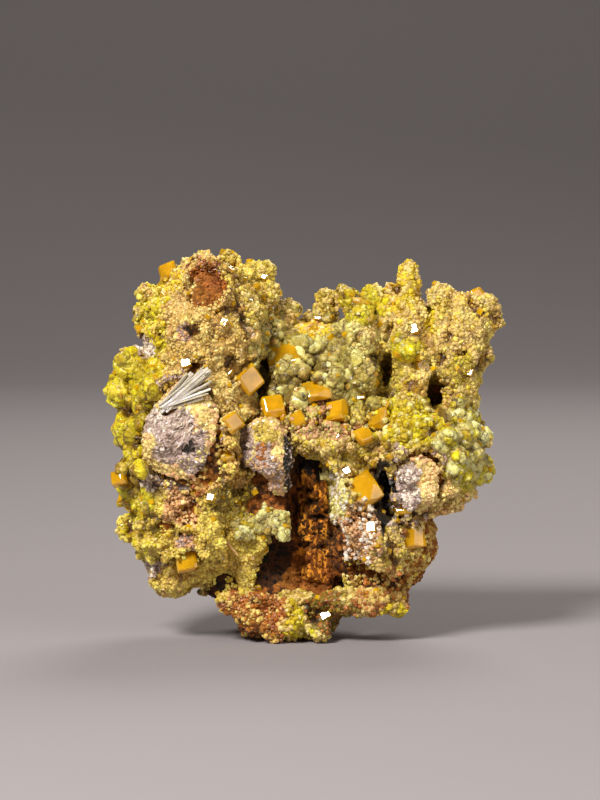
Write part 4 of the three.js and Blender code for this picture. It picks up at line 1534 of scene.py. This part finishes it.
    def swell_lumps(self, body: bpy.types.Object, rock: BVHTree, zones: Sequence[Zone]) -> np.ndarray:
        """Swells the body into fused lumps with pits between, and lets its back side into the rock below.

        Args:
            body: The body.
            rock: The ironstone that it grew on.
            zones: The zone of each of its points.

        Returns:
            How light each point is painted, as painted shade, from 0 in a pit to 1 on top of a lump.
        """
        points, normals = points_of(body), normals_of(body)
        coarse = eased(body, np.array([np.clip((zone.size - 0.45) / 0.3, 0.0, 1.0) for zone in zones]), 12)
        shades = np.ones(len(points))
        for i, (point, normal) in enumerate(zip(map(Vector, points), map(Vector, normals))):
            rooted = into_rock(rock, point, normal)
            if rooted is not None:
                points[i] = rooted
                continue
            fine, wide = (dome(point, width) for width in self.lumps)
            bead = dome(point, 0.4 * self.lumps[0])
            pit = np.clip((noise.noise(point / (2.3 * MM)) - 0.26) / 0.2, 0.0, 1.0)
            lump = fine + (wide - fine) * coarse[i]
            height = (0.32 + 0.88 * coarse[i]) * lump + 0.20 * bead - 0.8 * pit
            points[i] = point + normal * (height * MM - self.skin)
            # Painted shade: the lower a point lies on its lump, and the deeper in a pit, the darker it is
            # painted.
            least = 0.4 - 0.3 * coarse[i]
            shades[i] = max(0.0, least + (1.0 - least) * lump ** 1.5 - 0.7 * pit)
        points[:, 2] = np.maximum(points[:, 2], 0.0)
        move_points(body, points)
        return shades

    def stretches(self, points: np.ndarray) -> dict[str, np.ndarray]:
        """Parts the grains by the stretch of crust that they stand on.

        Args:
            points: Where they stand.

        Returns:
            The stretches' names, each with True or False for every grain.
        """
        x, z = points[:, 0] / MM, points[:, 2] / MM
        left = x < -5.0
        right = x > 9.5
        middle = ~left & ~right
        return {
            "head_grains": left & (z > 33.0),
            "left_grains": left & (z <= 33.0) & (z > 17.0),
            "low_left_grains": left & (z <= 17.0),
            "valley_grains": middle & (z > 24.0),
            "ridge_grains": middle & (z <= 24.0),
            "tower_grains": right & (z > 29.0),
            "bulge_grains": right & (z <= 29.0),
        }


@dataclass
class Quartz:
    """The patches of quartz: sheaves of shiny blades and sugary grains on a low body.

    Attributes:
        LEAN: The way that the blades point, in the main.
        SHEAF: How wide a sheaf of blades that lean alike is.
        NEEDLE: Where the pink needle starts and ends, across and up in millimetres.
        nodes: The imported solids.
        draw: The source of chance.
        solids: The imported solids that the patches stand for.
        finish: Their material.
    """

    LEAN: ClassVar[Vector] = Vector((0.45, -0.40, 0.45))
    SHEAF: ClassVar[float] = 1.6 * MM
    NEEDLE: ClassVar[tuple[tuple[float, float], ...]] = ((-9.5, 12.2), (-8.1, 10.3))
    nodes: dict[str, bpy.types.Object]
    draw: np.random.Generator
    solids: tuple[str, ...] = ("quartz_left", "quartz_right", "quartz_knob")
    finish: bpy.types.Material = field(init=False)

    def build(self, stock: Stock) -> None:
        """Builds the patches, with their blades in sheaves.

        Args:
            stock: The crystals to grow.
        """
        rock = tree_of(self.nodes["matrix"])
        body = copy_of(self.solids, self.nodes, "quartz_body")
        refine(body, 0.35 * MM, 0.5, 3)
        points, normals = points_of(body), normals_of(body)
        for i, (point, normal) in enumerate(zip(map(Vector, points), map(Vector, normals))):
            rooted = into_rock(rock, point, normal)
            if rooted is not None:
                points[i] = rooted
                continue
            ridge = abs(noise.noise(Vector((point.x - point.z, point.y, point.z + point.x)) / (1.3 * MM)))
            fine = noise.noise(point / (0.6 * MM))
            points[i] = point + normal * MM * (0.45 * ridge + 0.2 * fine - 0.3)
        move_points(body, points)
        tints = np.array([self.zone(Vector(p)).tint.value for p in points])
        paint(body, tints, np.full(len(points), 0.6), np.full(len(points), 0.5))

        def outside(spot: Vector, zone: Zone) -> bool:
            return rock.find_nearest(spot, 0.35 * MM)[0] is None

        places = Seedbed(body, self.draw).spread(self.zone, outside)
        plates = np.array([zone.habit is Habit.PLATE for zone in places.zones])
        leaning = places.part(plates)
        ways = [self.LEAN + noise.noise_vector(Vector(p) / self.SHEAF) for p in leaning.points]
        flakes = grow("quartz_plates", stock, leaning, self.draw, 0.22, (0.9, 1.6), np.array(ways))
        grains = grow("quartz_grains", stock, places.part(~plates), self.draw, 0.5, (0.6, 1.0))
        self.finish = CrystalFinish("quartz", 0.5, 0.6, 0.2, 0.6 * MM, 0.5, facet=2600.0).build()
        dressed(body, self.finish, self.solids)
        dressed(grains, self.finish)
        dressed(flakes, self.finish)

    def add_needle(self, stock: Stock, crust: BVHTree) -> None:
        """Adds the pink needle that lies across the lower left of the specimen.

        Args:
            stock: The crystals to grow.
            crust: The crust below it.
        """
        start, end = (from_the_front(crust, x, z)[0] for x, z in self.NEEDLE)
        zone = Zone(Tint.PEACH, self.NEEDLE[0], (1.0, 1.0), 1.0, Habit.NEEDLE, 1.0, Tint.PEACH)
        way = np.array([(end - start).normalized()])
        spot = np.array([start + Vector((0.0, -0.55, 0.0)) * MM])
        foot = Places(spot, way, np.array([1.2 * MM]), np.ones(1), [zone])
        needle = grow("quartz_needle", stock, foot, self.draw, 0.0, (1.0, 1.0))
        dressed(needle, self.finish)

    def zone(self, place: Vector) -> Zone:
        """Gives the zone of a place on a patch."""
        return pick(QUARTZ_ZONES, QUARTZ_ELSEWHERE, place, 0.5)


@dataclass
class Wulfenite:
    """The orange tablets, each in the place of its solid, with small specks about them.

    Attributes:
        SPECK: The one kind of speck.
        SPECKS_BACK: The plane behind which no specks lie.
        nodes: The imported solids.
        draw: The source of chance.
        edge: The width of a tablet's bevels.
        cuts: How many of its corners are cut off.
    """

    SPECK: ClassVar[Zone] = Zone(Tint.HONEY, (0.0, 24.0), (30.0, 30.0), 0.6, Habit.TABLET)
    SPECKS_BACK: ClassVar[float] = 2.0 * MM
    nodes: dict[str, bpy.types.Object]
    draw: np.random.Generator
    edge: float = 0.07 * MM
    cuts: int = 5

    def build(self, stock: Stock, crust: Crust) -> None:
        """Builds every tablet, the grains at its foot, and the specks that lie about in the crust.

        Args:
            stock: The crystals to grow.
            crust: What the tablets and the specks sit on.
        """
        finish = ClearFinish(
            "wulfenite", Tint.HONEY.value, (1.0, 0.80, 0.05), 260.0, clear=0.25, index=1.9, rough=0.06
        ).build()
        feet = []
        for name in sorted(self.nodes):
            if name.startswith("wulfenite_"):
                tablet = copy_of([name], self.nodes, f"{name}_crystal")
                self.trim(tablet)
                feet.append(crust.foot_of(tablet))
                modify(tablet, "BEVEL", width=self.edge, segments=1, limit_method="ANGLE")
                dressed(tablet, finish, [name])
        crust.grow_feet(feet)
        self.scatter(stock, crust.body, finish)

    def scatter(self, stock: Stock, crust: bpy.types.Object, finish: bpy.types.Material) -> None:
        """Scatters specks over the crust, and glinting plates that face halfway between eye and key light.

        Args:
            stock: The crystals to grow.
            crust: The body that they sit on.
            finish: Their material.
        """
        places = Seedbed(crust, self.draw).spread(
            lambda place: self.SPECK,
            lambda spot, zone: spot.y < self.SPECKS_BACK,
            SPECKS,
        )
        specks = grow("wulfenite_specks", stock, places, self.draw, 0.9, (0.9, 1.3))
        dressed(specks, finish)
        tree = tree_of(crust)
        hits = [from_the_front(tree, x, z) for x, z in GLINTS]
        found = [(place, way) for place, way in hits if place is not None]
        points = np.array([place for place, _ in found])
        glints = Places(
            points - np.array([0.0, 0.25 * MM, 0.0]),
            np.array([way for _, way in found]),
            self.draw.uniform(0.8, 1.3, len(found)) * MM,
            np.ones(len(found)),
            [self.SPECK] * len(found),
        )
        halfway = (EYE_WAY.normalized() + KEY_WAY.normalized()).normalized()
        plates = grow("wulfenite_glints", stock, glints, self.draw, 0.02, (0.4, 0.7), np.array(halfway))
        dressed(plates, finish)

    def trim(self, tablet: bpy.types.Object) -> None:
        """Cuts a tablet's corners off at chance angles, as on a crystal that grew among others.

        Args:
            tablet: The tablet.
        """
        choose(tablet)
        with editing():
            bpy.ops.mesh.dissolve_limited(angle_limit=math.radians(1.0))
        for _ in range(self.cuts):
            points = points_of(tablet)
            middle = points.mean(axis=0)
            way = self.draw.normal(0.0, 1.0, 3)
            way /= np.linalg.norm(way)
            reach = ((points - middle) @ way).max() * self.draw.uniform(0.74, 0.92)
            cut = tuple(middle + way * reach)
            with editing():
                bpy.ops.mesh.bisect(plane_co=cut, plane_no=tuple(way), use_fill=True, clear_outer=True)


@dataclass
class CerussiteFan:
    """The silvery spray of thin striated blades.

    Attributes:
        SLOPES: The slopes of its lowest and its highest blade, in degrees.
        LENGTH: The length of those two, in millimetres.
        BULGE: How much longer the blades in the middle are.
        draw: The source of chance.
        root: Where the blades meet.
        blades: How many there are.
    """

    SLOPES: ClassVar[tuple[float, float]] = (18.0, 54.0)
    LENGTH: ClassVar[float] = 5.0
    BULGE: ClassVar[float] = 2.2
    draw: np.random.Generator
    root: Vector = field(default_factory=lambda: Vector((-17.2, -10.4, 28.8)) * MM)
    blades: int = 36

    def build(self) -> None:
        """Builds the fan inside the box of its solid."""
        low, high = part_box("cerussite_spray")
        parts = [self.blade(i / (self.blades - 1)) for i in range(self.blades)]
        bpy.ops.object.select_all(action="DESELECT")
        for part in parts:
            part.select_set(True)
        bpy.context.view_layer.objects.active = parts[0]
        bpy.ops.object.join()
        fan = bpy.context.view_layer.objects.active
        fan.name = "cerussite_fan"
        fan.data.name = "cerussite_fan"
        bpy.ops.object.transform_apply(location=True, rotation=True, scale=True)
        points = np.clip(points_of(fan), np.array(low), np.array(high))
        move_points(fan, points)
        finish = ClearFinish(
            "cerussite", (0.86, 0.74, 0.54), (0.95, 0.90, 0.80), 60.0, clear=0.2, index=2.0, rough=0.2
        ).build()
        dressed(fan, finish, ["cerussite_spray"])

    def blade(self, share: float) -> bpy.types.Object:
        """Models one blade.

        Args:
            share: Its place in the fan, from the lowest at 0 to the highest at 1.

        Returns:
            The blade.
        """
        lowest, highest = self.SLOPES
        slope = math.radians(lowest + (highest - lowest) * share)
        stray = self.draw.uniform(-0.6, 0.6)
        length = (self.LENGTH + self.BULGE * math.sin(math.pi * share) + stray) * MM
        width = self.draw.uniform(0.16, 0.42) * MM
        thick = self.draw.uniform(0.12, 0.22) * MM
        bpy.ops.mesh.primitive_cube_add(size=1.0, scale=(length, thick, width))
        blade = bpy.context.view_layer.objects.active
        bpy.ops.object.transform_apply(location=False, rotation=False, scale=True)
        with editing():
            bpy.ops.mesh.bevel(offset=0.3 * thick, segments=1)
        turn = (
            Matrix.Rotation(-slope, 4, "Y")
            @ Matrix.Rotation(self.draw.uniform(-0.16, 0.02), 4, "Z")
            @ Matrix.Translation((length / 2, 0.0, 0.0))
            @ Matrix.Rotation(self.draw.uniform(-0.9, 0.9), 4, "X")
        )
        shift = Vector([self.draw.uniform(*stray) for stray in ((-0.5, 0.5), (-0.5, 0.3), (-0.5, 0.5))])
        blade.matrix_world = Matrix.Translation(self.root + shift * MM) @ turn
        return blade


@dataclass
class Studio:
    """The pale sweep, the soft lights and the camera.

    Attributes:
        target: What the camera looks at.
        distance: How far away it stands.
        rise: How far it looks down, in degrees.
        lens: Its focal length, in millimetres.
        sensor: The height of its upright sensor, in millimetres.
        height: The height of the picture, in pixels.
        shift: How far the view is shifted across and up, in pixels.
    """

    target: Vector = field(default_factory=lambda: Vector((0.0, 0.0, 23.7)) * MM)
    distance: float = 420.0 * MM
    rise: float = 5.0
    lens: float = 154.0
    sensor: float = 36.0
    height: float = 800.0
    shift: tuple[float, float] = (-7.0, 43.5)

    def build(self) -> None:
        """Builds the sweep, the lights and the camera."""
        self.sweep()
        bpy.context.scene.view_settings.view_transform = "Standard"
        self.light("key", (-0.20, -0.34, 0.36), 0.16, 3.65, (1.0, 0.98, 0.95))
        self.light("fill", (0.34, -0.30, 0.16), 0.45, 0.8, (1.0, 0.96, 0.88))
        self.light("rim", (0.10, 0.30, 0.36), 0.25, 1.1, (1.0, 0.97, 0.92))
        world = bpy.data.worlds.new("studio")
        bpy.context.scene.world = world
        world.use_nodes = True
        world.node_tree.nodes["Background"].inputs["Color"].default_value = (0.64, 0.60, 0.56, 1.0)
        world.node_tree.nodes["Background"].inputs["Strength"].default_value = 0.13
        self.view()

    def view(self) -> None:
        """Sets the camera up at the photograph's angle."""
        camera = bpy.data.cameras.new("camera")
        camera.lens = self.lens
        camera.sensor_width = self.sensor
        camera.shift_x, camera.shift_y = (shift / self.height for shift in self.shift)
        holder = bpy.data.objects.new("camera", camera)
        bpy.context.scene.collection.objects.link(holder)
        back = Vector((0.0, -math.cos(math.radians(self.rise)), math.sin(math.radians(self.rise))))
        holder.location = self.target + back * self.distance
        holder.rotation_euler = (-back).to_track_quat("-Z", "Y").to_euler()
        bpy.context.scene.camera = holder

    def light(
        self,
        name: str,
        at: tuple[float, float, float],
        size: float,
        power: float,
        colour: Colour,
    ) -> None:
        """Adds a softbox that faces the specimen.

        Args:
            name: What it is called.
            at: Where it hangs.
            size: Its width.
            power: How strong it is.
            colour: Its colour.
        """
        lamp = bpy.data.lights.new(name, "AREA")
        lamp.shape = "DISK"
        lamp.size = size
        lamp.energy = power
        lamp.color = colour
        holder = bpy.data.objects.new(name, lamp)
        bpy.context.scene.collection.objects.link(holder)
        holder.location = at
        holder.rotation_euler = (self.target - Vector(at)).to_track_quat("-Z", "Y").to_euler()

    def sweep(self) -> None:
        """Lays a floor that curves up behind the specimen."""
        bpy.ops.mesh.primitive_plane_add(size=1.6)
        floor = bpy.context.view_layer.objects.active
        floor.name = "floor"
        choose(floor)
        with editing():
            bpy.ops.mesh.select_mode(type="EDGE")
            self.select_back_edge(floor)
            bpy.ops.mesh.extrude_region_move(TRANSFORM_OT_translate={"value": (0.0, 0.0, 1.2)})
            self.select_back_edge(floor)
            bpy.ops.mesh.bevel(offset=0.35, segments=16)
        bpy.ops.object.shade_smooth()
        material = bpy.data.materials.new("pale floor")
        material.use_nodes = True
        shader = material.node_tree.nodes["Principled BSDF"]
        shader.inputs["Base Color"].default_value = (0.30, 0.27, 0.275, 1.0)
        shader.inputs["Roughness"].default_value = 0.9
        floor.data.materials.append(material)

    def select_back_edge(self, floor: bpy.types.Object) -> None:
        """Selects the edge where the floor ends at the back, and no other."""
        bpy.ops.mesh.select_all(action="DESELECT")
        edit = bmesh.from_edit_mesh(floor.data)
        for edge in edit.edges:
            if all(vertex.co.y > 0.7 and vertex.co.z < 0.1 for vertex in edge.verts):
                edge.select = True
        bmesh.update_edit_mesh(floor.data)


def main() -> None:
    """Builds the specimen and the studio."""
    logging.basicConfig(level=logging.INFO, format="%(name)s: %(message)s")
    noise.seed_set(SEED)
    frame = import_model()
    nodes = frame["nodes"]
    draw = np.random.default_rng(SEED)
    Studio().build()
    stock = Stock()
    crust = Crust(nodes, draw, stock)
    crust.build()
    stone = Ironstone(nodes, draw)
    stone.build(stock, tree_of(crust.body))
    crust.overgrow(stone.body)
    quartz = Quartz(nodes, draw)
    quartz.build(stock)
    quartz.add_needle(stock, tree_of(crust.body))
    CerussiteFan(draw).build()
    Wulfenite(nodes, draw).build(stock, crust)


if __name__ == "__main__":
    main()
